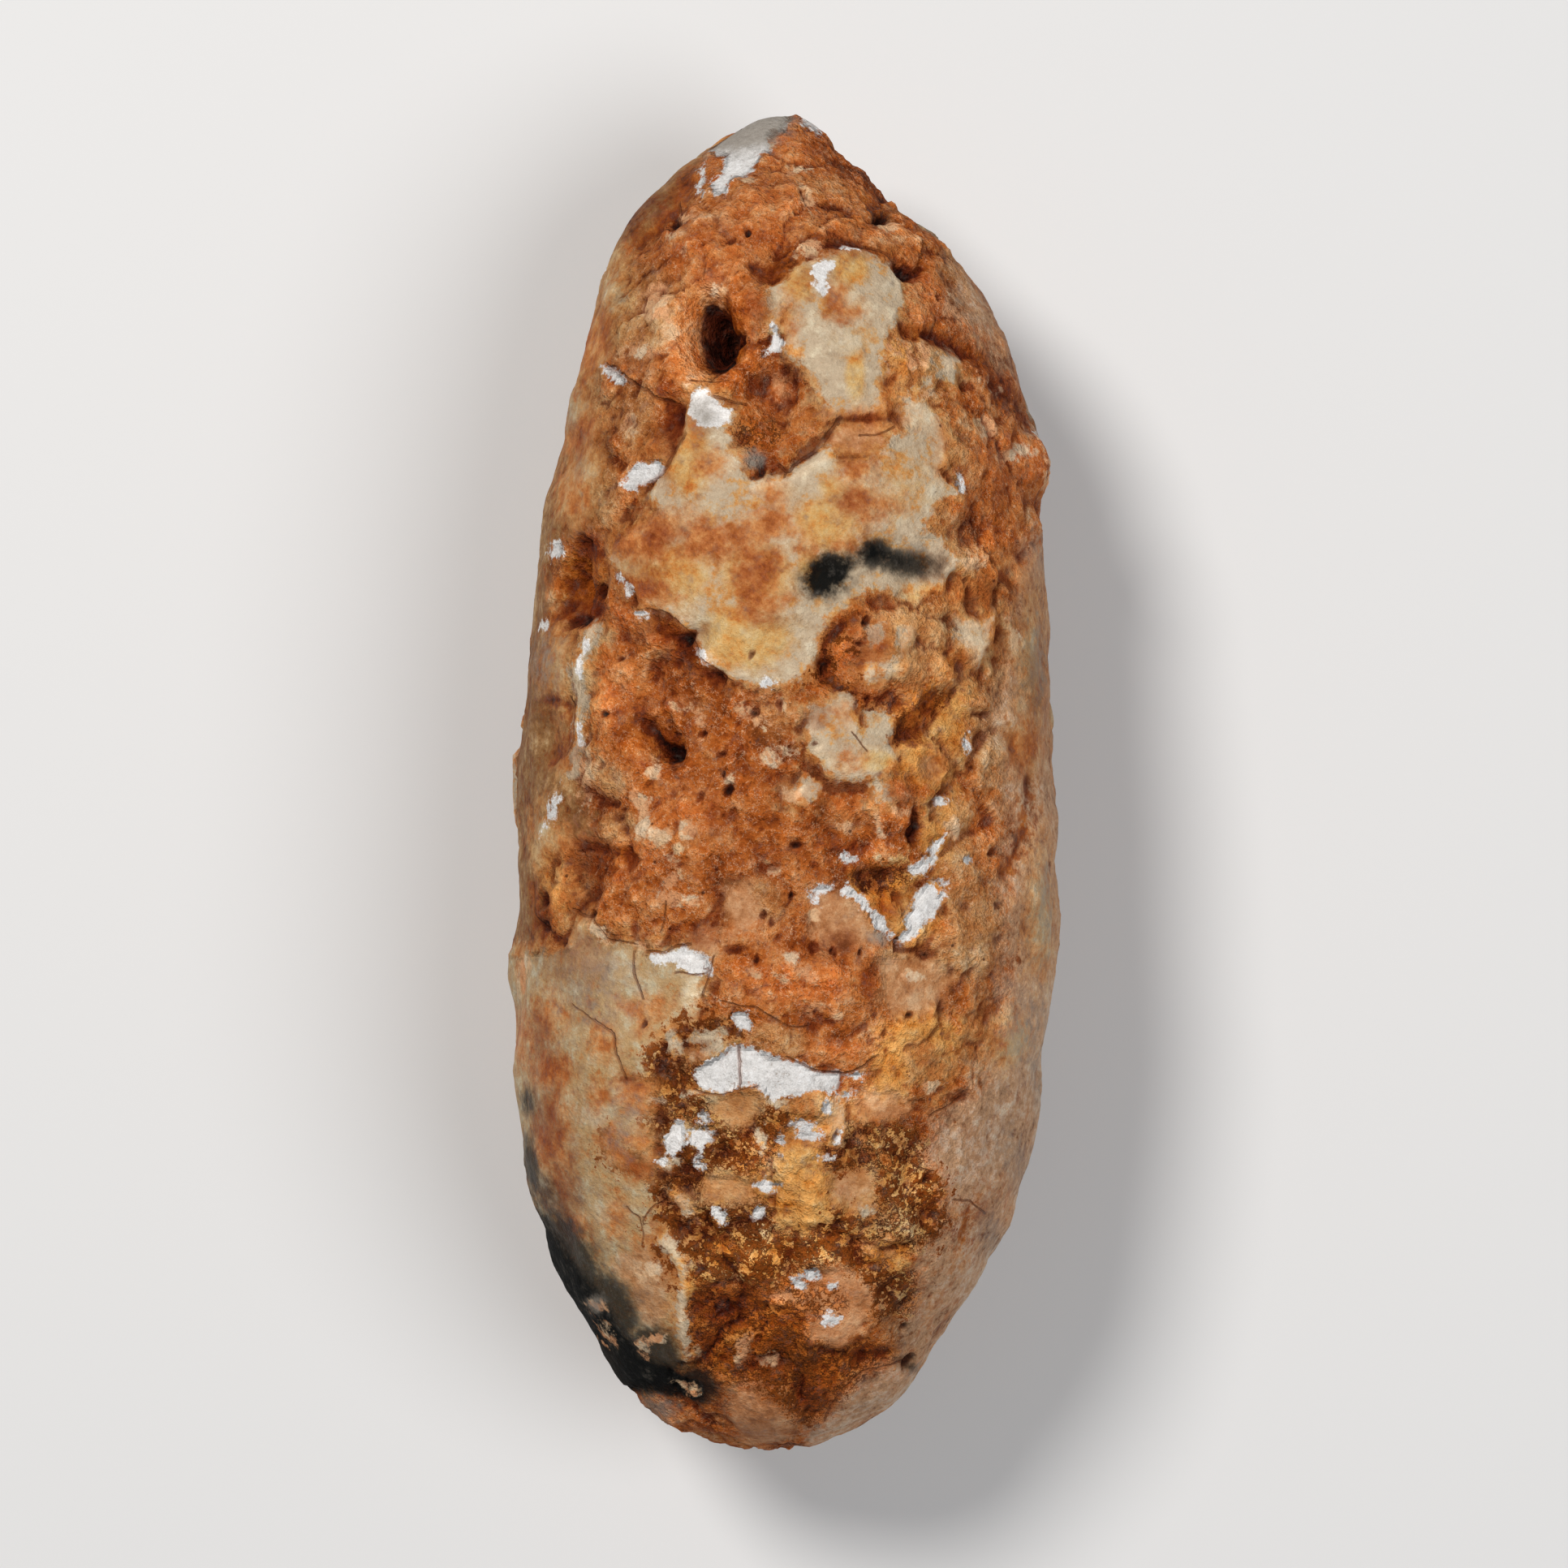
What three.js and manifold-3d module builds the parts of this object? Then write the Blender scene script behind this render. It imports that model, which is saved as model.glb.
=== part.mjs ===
// A fossil conifer cone turned to agate-like stone: one solid, lying on its side.
// Millimetres, +Z up. The cone's tip points along +Y, and the weathered face looks up.
import * as THREE from "three";
import { mergeVertices } from "three/addons/utils/BufferGeometryUtils.js";
import Module from "manifold-3d";

// ---- Driving dimensions -------------------------------------------------------------------

const LENGTH = 70; // tip to butt
const THICKNESS_RATIO = 0.93; // half thickness over mean half width, before the belly is worn
const SECTION_POWER = 2.2; // 2 is an ellipse; more is boxier
const REST_WEAR = 0.9; // how much of the belly is worn off flat, where the stone rests
const CORE_HALF = 21; // half length of the core line that relief grows away from

const RINGS = 74; // bands from tip to butt
const SPOKES = 62; // points around each band

// Outline seen from above, from tip to butt: [y, half width on the -X side, half width on the +X side].
const OUTLINE = [
  [35.0, 0.0, 0.0],
  [34.85, 1.07, 1.03],
  [34.3, 2.04, 2.16],
  [33.0, 4.03, 3.12],
  [31.5, 6.15, 4.75],
  [30.0, 7.55, 6.55],
  [28.0, 8.55, 9.15],
  [25.0, 9.3, 11.05],
  [22.0, 10.25, 12.45],
  [18.0, 11.05, 13.1],
  [14.0, 12.0, 13.75],
  [9.0, 12.55, 14.1],
  [4.0, 13.05, 14.3],
  [-2.0, 13.3, 14.45],
  [-8.0, 13.45, 14.55],
  [-13.0, 13.55, 14.0],
  [-17.0, 13.45, 13.5],
  [-20.5, 13.0, 12.85],
  [-24.0, 11.85, 11.45],
  [-27.0, 10.8, 9.75],
  [-30.0, 8.85, 7.85],
  [-32.0, 7.45, 6.45],
  [-33.3, 6.05, 4.65],
  [-34.3, 3.3, 2.4],
  [-34.85, 1.16, 0.84],
  [-35.0, 0.0, 0.0],
];

// Stubs of the cone's scales, wound round the body as scales grow, in a golden-angle spiral.
const SCALES = 150;
const SCALE_ACROSS = 2.5;
const SCALE_AHEAD = 1.5; // steep side, towards the cone's tip
const SCALE_BEHIND = 3.2;
const SCALE_HEIGHT_BELOW = 0.8;
const SCALE_HEIGHT_WEATHERED = 0.2;
const WEATHERED_FROM = [-5, 6]; // height above the core line over which the weathering sets in
const SCALE_MEAN = 0.5; // mean of all the stubs' bells, for a height of 1
const GOLDEN_ANGLE = Math.PI * (3 - Math.sqrt(5));

// Scale tips that still stand proud: y, turn about +Y from +X towards +Z, height, spread.
const KNOBS = [
  { name: "right nose shoulder", y: 31.6, turn: 12, height: 0.4, spread: 1.2 },
  { name: "right brow", y: 28.2, turn: 20, height: 0.35, spread: 1.5 },
  { name: "right knuckle", y: 17.4, turn: 8, height: 1.0, spread: 1.5 },
  { name: "left brow", y: 23.8, turn: 172, height: 0.25, spread: 1.2 },
  { name: "left knuckle", y: 14.6, turn: 174, height: 0.65, spread: 1.2 },
  { name: "left upper hump", y: 6.4, turn: 176, height: 0.2, spread: 2.0 },
  { name: "left middle hump", y: -1.8, turn: 178, height: 0.3, spread: 1.6 },
  { name: "left spur", y: -9.9, turn: 176, height: 1.0, spread: 1.6 },
  { name: "left lower hump", y: -20.6, turn: 172, height: 0.25, spread: 1.7 },
  { name: "left under spur", y: 3.5, turn: 215, height: 0.6, spread: 2.0 },
  { name: "left under knuckle", y: -16.0, turn: 225, height: 0.55, spread: 2.2 },
  { name: "right under hump", y: 8.0, turn: -32, height: 0.55, spread: 2.4 },
  { name: "right under knuckle", y: -12.0, turn: -38, height: 0.5, spread: 2.4 },
];

// Flat-topped plates that stand on the weathered face: centre from above, half sizes, turn, rise.
const PLATES = [
  { name: "upper plate", x: 2.9, y: 23.6, halfX: 3.2, halfY: 4.0, turn: -10, rise: 0.5 },
  { name: "left block", x: -7.9, y: 18.9, halfX: 1.3, halfY: 2.0, turn: 10, rise: 0.35 },
  { name: "left cream plate", x: -4.0, y: 16.0, halfX: 2.6, halfY: 2.9, turn: 25, rise: 0.45 },
  { name: "middle plate", x: 5.2, y: 16.4, halfX: 3.4, halfY: 2.7, turn: 10, rise: 0.45 },
  { name: "cream plateau", x: -3.7, y: 10.0, halfX: 4.6, halfY: 3.7, turn: -15, rise: 0.6 },
  { name: "round nodule", x: 5.1, y: 7.2, halfX: 2.6, halfY: 2.6, turn: 0, rise: 0.7 },
  { name: "small plate", x: 3.6, y: 2.2, halfX: 2.2, halfY: 2.0, turn: 0, rise: 0.4 },
  { name: "slab", x: 0.7, y: -10.8, halfX: 4.6, halfY: 1.9, turn: -6, rise: 0.4 },
  { name: "pale ridge", x: -0.9, y: -15.0, halfX: 3.9, halfY: 1.0, turn: -4, rise: 0.45 },
  { name: "lower left cheek", x: -8.6, y: -15.5, halfX: 2.3, halfY: 6.5, turn: 4, rise: 0.35 },
];

// Shallow hollows of the weathered face: centre from above, half sizes, turn, depth.
const HOLLOWS = [
  { name: "nose groove", x: -6.2, y: 29.6, halfX: 0.9, halfY: 2.2, turn: -35, depth: 0.7 },
  { name: "upper bowl", x: -0.6, y: 20.2, halfX: 1.7, halfY: 3.0, turn: 0, depth: 0.8 },
  { name: "under the brow", x: -5.9, y: 4.6, halfX: 3.2, halfY: 3.4, turn: 0, depth: 0.8 },
  { name: "left flank", x: -10.1, y: -4.2, halfX: 1.6, halfY: 3.0, turn: 0, depth: 0.5 },
  { name: "round scar", x: 2.6, y: 6.4, halfX: 1.1, halfY: 2.0, turn: 0, depth: 0.6 },
  { name: "right furrow", x: 9.9, y: 22.5, halfX: 1.9, halfY: 0.9, turn: -30, depth: 0.5 },
  { name: "crust basin", x: -2.6, y: -19.8, halfX: 3.4, halfY: 3.2, turn: 0, depth: 0.5 },
  { name: "dusty dip", x: 2.8, y: -6.8, halfX: 1.8, halfY: 1.5, turn: 0, depth: 0.4 },
];

// Sockets left by seeds and scales, as deep cuts: centre from above, half sizes, turn, depth.
const SOCKETS = [
  { name: "seed socket", x: -3.9, y: 23.6, halfX: 0.85, halfY: 2.0, turn: 0, depth: 2.4 },
  { name: "side socket", x: -10.7, y: 10.4, halfX: 1.3, halfY: 2.2, turn: 0, depth: 1.9 },
  { name: "low side socket", x: -11.8, y: 2.6, halfX: 1.0, halfY: 1.7, turn: 0, depth: 1.0 },
  { name: "slant slot", x: -6.5, y: 2.1, halfX: 0.5, halfY: 1.45, turn: 40, depth: 1.3 },
];
const SOCKET_SEGMENTS = [12, 8];

// ---- Body ---------------------------------------------------------------------------------

// The outline as one curve through (left, right, y), so that its even steps give even bands.
function outlineBands() {
  const stations = OUTLINE.map(([y, left, right]) => new THREE.Vector3(left, right, y));
  const curve = new THREE.CatmullRomCurve3(stations, false, "centripetal");
  return curve.getSpacedPoints(RINGS);
}

const signedPower = (value, power) => Math.sign(value) * Math.abs(value) ** power;

// A point of the plain body, before any relief.
function bodyPoint(left, right, y, angle) {
  const across = signedPower(Math.cos(angle), 2 / SECTION_POWER);
  const upward = signedPower(Math.sin(angle), 2 / SECTION_POWER);
  const halfThickness = (THICKNESS_RATIO * (left + right)) / 2;
  return new THREE.Vector3(across * (across > 0 ? right : left), y, upward * halfThickness);
}

// Where a turn about +Y and a place along it meet the plain body.
function placeOnBody(y, angle) {
  const i = OUTLINE.findIndex(([stationY]) => stationY <= y);
  const [upperY, upperLeft, upperRight] = OUTLINE[i - 1];
  const [lowerY, lowerLeft, lowerRight] = OUTLINE[i];
  const t = (upperY - y) / (upperY - lowerY);
  const left = THREE.MathUtils.lerp(upperLeft, lowerLeft, t);
  const right = THREE.MathUtils.lerp(upperRight, lowerRight, t);
  return bodyPoint(left, right, y, angle);
}

// The way that relief grows: straight away from the core line.
function outward(point) {
  const core = new THREE.Vector3(0, THREE.MathUtils.clamp(point.y, -CORE_HALF, CORE_HALF), 0);
  return point.clone().sub(core).normalize();
}

// ---- Relief -------------------------------------------------------------------------------

const bell = (squared) => Math.exp(-squared);
const flatTop = (squared) => Math.exp(-squared * squared);

function scaleTips() {
  return Array.from({ length: SCALES }, (_, i) => {
    const y = (LENGTH / 2) * (1 - (2 * (i + 0.5)) / SCALES);
    return placeOnBody(y, i * GOLDEN_ANGLE);
  });
}

function knobTips() {
  return KNOBS.map((knob) => ({
    ...knob,
    place: placeOnBody(knob.y, THREE.MathUtils.degToRad(knob.turn)),
  }));
}

// A scale stub's share of its height at a point: steeper ahead of its tip than behind it.
function scaleBell(point, tip) {
  const ahead = point.y - tip.y;
  const along = ahead / (ahead > 0 ? SCALE_AHEAD : SCALE_BEHIND);
  const across = Math.hypot(point.x - tip.x, point.z - tip.z) / SCALE_ACROSS;
  return bell(along ** 2 + across ** 2);
}

// How far a point lies from a feature's centre, seen from above: 1 on its turned ellipse.
function squaredReach(point, { x, y, halfX, halfY, turn }) {
  const turned = new THREE.Vector2(point.x - x, point.y - y);
  turned.rotateAround(new THREE.Vector2(), -THREE.MathUtils.degToRad(turn));
  return (turned.x / halfX) ** 2 + (turned.y / halfY) ** 2;
}

// Height of the relief over the plain body.
function reliefAt(point, tips, knobs) {
  const weathered = THREE.MathUtils.smoothstep(point.z, ...WEATHERED_FROM);
  const scaleHeight = THREE.MathUtils.lerp(SCALE_HEIGHT_BELOW, SCALE_HEIGHT_WEATHERED, weathered);
  let height = -SCALE_MEAN * scaleHeight;
  for (const tip of tips) {
    height += scaleHeight * scaleBell(point, tip);
  }
  for (const { place, height: rise, spread } of knobs) {
    height += rise * bell(point.distanceToSquared(place) / spread ** 2);
  }
  if (point.z > 0) {
    for (const plate of PLATES) {
      height += plate.rise * flatTop(squaredReach(point, plate));
    }
    for (const hollow of HOLLOWS) {
      height -= hollow.depth * bell(squaredReach(point, hollow));
    }
  }
  return height;
}

// ---- Mesh of the body ---------------------------------------------------------------------

function bodyGeometry() {
  const tips = scaleTips();
  const knobs = knobTips();
  const positions = [];
  const addPoint = (point) => {
    const raised = point.addScaledVector(outward(point), reliefAt(point, tips, knobs));
    positions.push(raised.x, raised.y, raised.z);
  };

  addPoint(new THREE.Vector3(0, LENGTH / 2, 0));
  for (const band of outlineBands().slice(1, -1)) {
    for (let spoke = 0; spoke < SPOKES; spoke++) {
      addPoint(bodyPoint(band.x, band.y, band.z, (2 * Math.PI * spoke) / SPOKES));
    }
  }
  addPoint(new THREE.Vector3(0, -LENGTH / 2, 0));

  const index = [];
  const butt = positions.length / 3 - 1;
  const lastRing = RINGS - 2;
  const at = (ring, spoke) => 1 + ring * SPOKES + (spoke % SPOKES);
  for (let spoke = 0; spoke < SPOKES; spoke++) {
    index.push(0, at(0, spoke + 1), at(0, spoke));
    for (let ring = 0; ring < lastRing; ring++) {
      const [a, b] = [at(ring, spoke), at(ring, spoke + 1)];
      const [c, d] = [at(ring + 1, spoke), at(ring + 1, spoke + 1)];
      index.push(a, b, c, b, d, c);
    }
    index.push(butt, at(lastRing, spoke), at(lastRing, spoke + 1));
  }

  const geometry = new THREE.BufferGeometry();
  geometry.setAttribute("position", new THREE.Float32BufferAttribute(positions, 3));
  geometry.setIndex(index);
  return geometry;
}

// ---- Cuts ---------------------------------------------------------------------------------

const wasm = await Module();
wasm.setup();

function solidOf(geometry) {
  const bare = geometry.clone();
  bare.deleteAttribute("normal");
  bare.deleteAttribute("uv");
  const merged = mergeVertices(bare);
  return new wasm.Manifold(
    new wasm.Mesh({
      numProp: 3,
      vertProperties: merged.attributes.position.array,
      triVerts: new Uint32Array(merged.index.array),
    }),
  );
}

function geometryOf(solid) {
  const mesh = solid.getMesh();
  const geometry = new THREE.BufferGeometry();
  geometry.setAttribute("position", new THREE.BufferAttribute(mesh.vertProperties, 3));
  geometry.setIndex(new THREE.BufferAttribute(mesh.triVerts, 1));
  return geometry;
}

// A lens-shaped cutter whose centre lies on the plain body's skin.
function socketCutter({ x, y, halfX, halfY, turn, depth }) {
  const halfWidth = Math.abs(placeOnBody(y, x > 0 ? 0 : Math.PI).x);
  const crown = placeOnBody(y, Math.PI / 2).z;
  const lift = (1 - (Math.abs(x) / halfWidth) ** SECTION_POWER) ** (1 / SECTION_POWER);
  const place = new THREE.Vector3(x, y, crown * lift);
  const up = new THREE.Vector3(0, 0, 1);
  const aim = new THREE.Quaternion().setFromUnitVectors(up, outward(place));
  return new THREE.SphereGeometry(1, ...SOCKET_SEGMENTS)
    .scale(halfX, halfY, depth)
    .rotateZ(THREE.MathUtils.degToRad(turn))
    .applyQuaternion(aim)
    .translate(place.x, place.y, place.z);
}

// A block that takes off everything below the worn rest face.
function restCutter(body) {
  body.computeBoundingBox();
  const cutTop = body.boundingBox.min.z + REST_WEAR;
  return new THREE.BoxGeometry(LENGTH, 2 * LENGTH, LENGTH).translate(0, 0, cutTop - LENGTH / 2);
}

// ---- The stone ----------------------------------------------------------------------------

// Sets the stone at its exact length, its rest face on z = 0 and the middle of its plan on the origin.
function settle(geometry) {
  geometry.computeBoundingBox();
  const { min, max } = geometry.boundingBox;
  geometry.translate(-(min.x + max.x) / 2, -(min.y + max.y) / 2, -min.z);
  geometry.scale(1, LENGTH / (max.y - min.y), 1);
}

function fossilCone() {
  const body = bodyGeometry();
  let stone = solidOf(body);
  for (const socket of SOCKETS) {
    stone = stone.subtract(solidOf(socketCutter(socket)));
  }
  stone = stone.subtract(solidOf(restCutter(body)));

  const geometry = geometryOf(stone);
  settle(geometry);
  geometry.computeVertexNormals();

  const material = new THREE.MeshStandardMaterial({
    color: 0xc4875a,
    roughness: 0.75,
    metalness: 0,
  });
  const mesh = new THREE.Mesh(geometry, material);
  mesh.name = "fossil_cone";
  return mesh;
}

const part = new THREE.Group();
part.add(fossilCone());

export default part;
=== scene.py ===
"""A fossil conifer cone in mottled agate, lying on its side: the fine stone and its studio."""

import math

import bpy
import numpy as np
from bpy.props import FloatProperty, FloatVectorProperty, IntProperty, PointerProperty
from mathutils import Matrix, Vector
from mathutils.bvhtree import BVHTree


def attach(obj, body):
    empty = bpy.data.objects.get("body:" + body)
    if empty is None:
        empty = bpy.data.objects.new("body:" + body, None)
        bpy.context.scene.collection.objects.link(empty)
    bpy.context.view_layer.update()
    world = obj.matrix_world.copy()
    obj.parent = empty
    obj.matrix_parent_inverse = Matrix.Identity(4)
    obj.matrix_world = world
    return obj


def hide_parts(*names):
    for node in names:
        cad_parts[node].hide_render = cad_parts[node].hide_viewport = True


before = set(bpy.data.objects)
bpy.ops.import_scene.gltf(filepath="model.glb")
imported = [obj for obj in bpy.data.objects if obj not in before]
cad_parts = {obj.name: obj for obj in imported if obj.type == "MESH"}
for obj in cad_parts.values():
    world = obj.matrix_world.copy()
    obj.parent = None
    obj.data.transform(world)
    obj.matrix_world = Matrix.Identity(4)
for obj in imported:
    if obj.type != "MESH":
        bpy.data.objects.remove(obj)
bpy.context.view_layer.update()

bl_info = {
    "name": "Fossil Conifer Cone",
    "version": (1, 0, 0),
    "blender": (4, 5, 0),
    "location": "View3D > Sidebar > Fossil Cone",
    "description": "Builds the fine surface of a silicified conifer cone and its studio",
    "category": "Object",
}

MM = 0.001
CONE_NODE = "fossil_cone"

# The stone is laid out from a core line along Y, in millimetres, as the solid is.
CORE_HALF = 21.0
CORE_HEIGHT = 12.9
CAP_RADIUS = 13.0
SKIN_LENGTH = 84.0

# How much the spokes crowd together over the weathered upper face.
SPOKE_CROWDING = 0.35

# The face plan is the stone's upper face as an eye this far above its rim sees it.
EYE_DISTANCE = 342.0
RIM_HEIGHT = 12.9

# The face's marks give way to the sides' own patches this far below the rim, and at most so much
# further down where they wander, fading over the last of these.
MARKS_END = 1.6
MARKS_WANDER = 4.4
MARKS_FADE = 1.4

# Down to this far below the rim the plan's points stray more and more, by so much for each millimetre
# down, in bends of this size, so that no mark runs straight down the side.
STRAY_DEPTH = 9
STRAY_RATE = 0.55
STRAY_SIZE = 6.0

# The relief dies out over this height above the floor, so that the stone still rests on its flat.
REST_FADE = 0.5

# Hollows and crevices are where the surface lies below its own blur, over so many cells of the mesh.
HOLLOW_BLUR = 5.0
CREVICE_BLUR = 1.6

GROUND_ROUGHNESS = 0.82
SPECULAR = 0.1

FLOOR_HALF = 1.5
FLOOR_GAP = 0.02 * MM
FLOOR_ROUGHNESS = 0.9
SENSOR_WIDTH = 36.0
NEAREST_SEEN = 0.01
WORLD_COLOUR = (0.9, 0.93, 1)
WORLD_STRENGTH = 0.16
# The soft lights: place and width in metres, colour.
LIGHTS = {
    "key": ((-0.2, 0.2, 0.44), 0.16, (1, 0.985, 0.96)),
    "fill": ((0.24, -0.06, 0.46), 0.3, (0.97, 0.985, 1)),
}


def tone(red, green, blue):
    """A colour picked on a screen, 0 to 255, as the linear colour that a shader takes."""
    parts = np.array([red, green, blue]) / 255
    linear = np.where(parts <= 0.04045, parts / 12.92, ((parts + 0.055) / 1.055) ** 2.4)
    return tuple(round(float(part), 4) for part in linear)


def shade(colour, factor=1.0):
    """A darker or lighter version of a colour."""
    return tuple(min(1.0, part * factor) for part in colour)


# ---- Settings ---------------------------------------------------------------------------


def colour_property(name, description, default):
    return FloatVectorProperty(
        name=name, description=description, subtype="COLOR", size=3, min=0, max=1, default=default
    )


def number_property(name, description, default, low, high, **options):
    kind = IntProperty if isinstance(default, int) else FloatProperty
    return kind(name=name, description=description, default=default, min=low, max=high, **options)


def length_property(name, description, default, high):
    return number_property(name, description, default * MM, 0, high * MM, unit="LENGTH", precision=5)


class FossilConeShape(bpy.types.PropertyGroup):
    """How finely the stone is meshed and how strong its relief is."""

    rings: number_property("Rings", "Bands of faces from tip to butt", 326, 40, 330)
    spokes: number_property("Spokes", "Faces round each band", 300, 40, 300)
    relief: number_property("Relief", "Strength of the plates, hollows and crust", 1.0, 0, 2)
    crust: length_property("Crust", "Height of the lumps of the rough ground mass", 0.5, 1)
    rim_softening: length_property("Softening", "Distance over which the solid's facets are smoothed", 0.7, 3)


class FossilConeColours(bpy.types.PropertyGroup):
    """The stone's colours."""

    shell: colour_property("Shell", "Worn outer shell on the left", tone(134, 98, 60))
    flank: colour_property("Flank", "Worn smooth skin on the right", tone(192, 152, 120))
    cream: colour_property("Cream", "Waxy agate plates", tone(194, 174, 152))
    pale: colour_property("Pale", "Grey-cream agate", tone(184, 154, 118))
    ochre: colour_property("Ochre", "Yellow iron stain", tone(202, 140, 74))
    rust: colour_property("Rust", "Brown iron crust", tone(98, 48, 8))
    chalk: colour_property("Chalk", "White chalky skin", tone(214, 210, 206))
    soot: colour_property("Soot", "Black smudges", tone(6, 8, 8))


class FossilConeStudio(bpy.types.PropertyGroup):
    """The studio round the stone."""

    focal_length: number_property("Focal Length", "Camera lens", 150.0, 20, 400, unit="CAMERA")
    key_power: number_property("Key", "Main soft light", 2.0, 0, 50, unit="POWER")
    fill_power: number_property("Fill", "Soft light from the other side", 1.2, 0, 50, unit="POWER")
    floor_colour: colour_property("Floor", "Plain pale floor", (0.72, 0.71, 0.7))


# ---- Marks on the face plan --------------------------------------------------------------
# Each mark gives a reach in millimetres: how far inside the mark a point of the plan lies,
# negative outside it. The marks' own places and sizes are in tenths of a millimetre.

TENTHS = 10
FAR = 6.0
TINY = 1e-9
UNREACHED = 1e9


def off_stretch(plan, start, end):
    """How far each point lies from a straight stretch."""
    stretch = end - start
    offset = plan - start
    along = np.clip(offset @ stretch / max(stretch @ stretch, TINY), 0, 1)
    return np.linalg.norm(offset - along[:, None] * stretch, axis=1)


def area(*corners):
    """A patch with straight sides: x and y of each corner."""

    def reach(plan):
        ends = np.reshape(corners, (-1, 2)) / TENTHS
        near = np.all((plan > ends.min(0) - FAR) & (plan < ends.max(0) + FAR), axis=1)
        result = np.full(len(plan), -FAR)
        near_plan = plan[near]
        distance = np.full(len(near_plan), UNREACHED)
        inside = np.zeros(len(near_plan), bool)
        for start, end in zip(np.roll(ends, 1, axis=0), ends):
            distance = np.minimum(distance, off_stretch(near_plan, start, end))
            crosses = (start[1] > near_plan[:, 1]) != (end[1] > near_plan[:, 1])
            side = end - start
            rise = side[1] if abs(side[1]) > TINY else TINY
            at_x = start[0] + (near_plan[:, 1] - start[1]) * side[0] / rise
            inside ^= crosses & (near_plan[:, 0] < at_x)
        result[near] = np.clip(np.where(inside, distance, -distance), -FAR, FAR)
        return result

    return reach


def across_and_along(plan, x, y, half_x, half_y, turn):
    """Each point's place in an oval turned anticlockwise by so many degrees, as shares of its half sizes."""
    c, s = math.cos(math.radians(turn)), math.sin(math.radians(turn))
    dx, dy = plan[:, 0] - x, plan[:, 1] - y
    return (dx * c + dy * s) / half_x, (dy * c - dx * s) / half_y


def oval(plan, *place):
    across, along = across_and_along(plan, *place)
    return across**2 + along**2


def spot(x, y, half_x, half_y, turn=0):
    """A round or oval patch."""

    def reach(plan):
        sizes = half_x / TENTHS, half_y / TENTHS
        across, along = across_and_along(plan, x / TENTHS, y / TENTHS, *sizes, turn)
        return np.clip((1 - np.hypot(across, along)) * min(sizes), -FAR, FAR)

    return reach


def line(width, *points):
    """A streak or groove: its width, then x and y of each point."""

    def reach(plan):
        path = np.reshape(points, (-1, 2)) / TENTHS
        distance = np.full(len(plan), UNREACHED)
        for start, end in zip(path, path[1:]):
            distance = np.minimum(distance, off_stretch(plan, start, end))
        return np.clip(width / TENTHS / 2 - distance, -FAR, FAR)

    return reach


# Worn outer shell: the strip along the left rim.
SHELL = [
    area(-42, 330, -46, 319, -50, 309, -55, 300, -63, 294, -73, 287, -80, 280, -85, 264, -87, 246, -88, 226,
         -96, 216, -96, 195, -92, 174, -96, 156, -100, 138, -110, 132, -118, 124, -119, 96, -113, 81, -109,
         70, -110, 56, -111, 44, -107, 34, -109, 20, -111, 6, -106, -6, -98, -20, -104, -30, -116, -32,
         -124, -40, -126, -56, -124, -80, -134, -90, -160, -90, -160, 100, -145, 160, -130, 200, -120, 250,
         -85, 315),
]

# The smooth skin of the right flank.
FLANK = [
    area(90, 276, 92, 260, 92, 246, 100, 236, 108, 222, 114, 212, 122, 200, 160, 200, 120, 300),
    area(116, -100, 112, -120, 104, -132, 102, -144, 99, -156, 92, -163, 83, -171, 79, -184, 71, -193, 70,
         -200, 80, -209, 83, -218, 83, -228, 76, -234, 69, -242, 66, -252, 68, -264, 63, -272, 60, -286, 62,
         -302, 46, -307, 37, -311, 31, -316, 28, -323, 23, -330, 14, -336, 6, -360, 100, -340, 160, -200,
         170, 0, 165, 140, 128, 124, 118, 96, 116, 70, 112, 50, 108, 30, 112, 6, 116, -24, 112, -60),
]

# Yellow and ochre iron stain.
OCHRE = [
    area(57, 36, 66, 44, 76, 52, 84, 58, 86, 68, 93, 70, 98, 62, 96, 44, 94, 28, 94, 10, 90, -4, 80, -4, 68,
         0, 58, 3, 56, 16, 58, 26),
    area(51, -129, 62, -122, 76, -121, 90, -126, 90, -136, 82, -146, 83, -158, 74, -156, 66, -154, 62, -164,
         50, -166, 47, -154, 50, -142),
    area(2, -168, 20, -166, 32, -172, 32, -186, 26, -198, 22, -202, 28, -220, 26, -232, 12, -238, -6, -232,
         -8, -218, -1, -206, -9, -196, -3, -182),
    area(40, -240, 52, -239, 63, -242, 61, -250, 50, -251, 42, -247),
    area(74, -8, 86, -8, 89, -20, 85, -34, 80, -46, 80, -68, 72, -82, 68, -84, 74, -74, 78, -62, 76, -44,
         73, -28), area(54, 236, 52, 226, 59, 220, 54, 210, 57, 199, 63, 199, 63, 212, 65, 230),
    spot(-118, -56, 4.5, 11, 5),
    area(38, -51, 46, -49, 58, -46, 66, -48, 67, -62, 64, -74, 59, -78, 50, -68, 42, -59),
    spot(-34, -246, 8, 5), spot(-6, -250, 9, 5),
]

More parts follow.
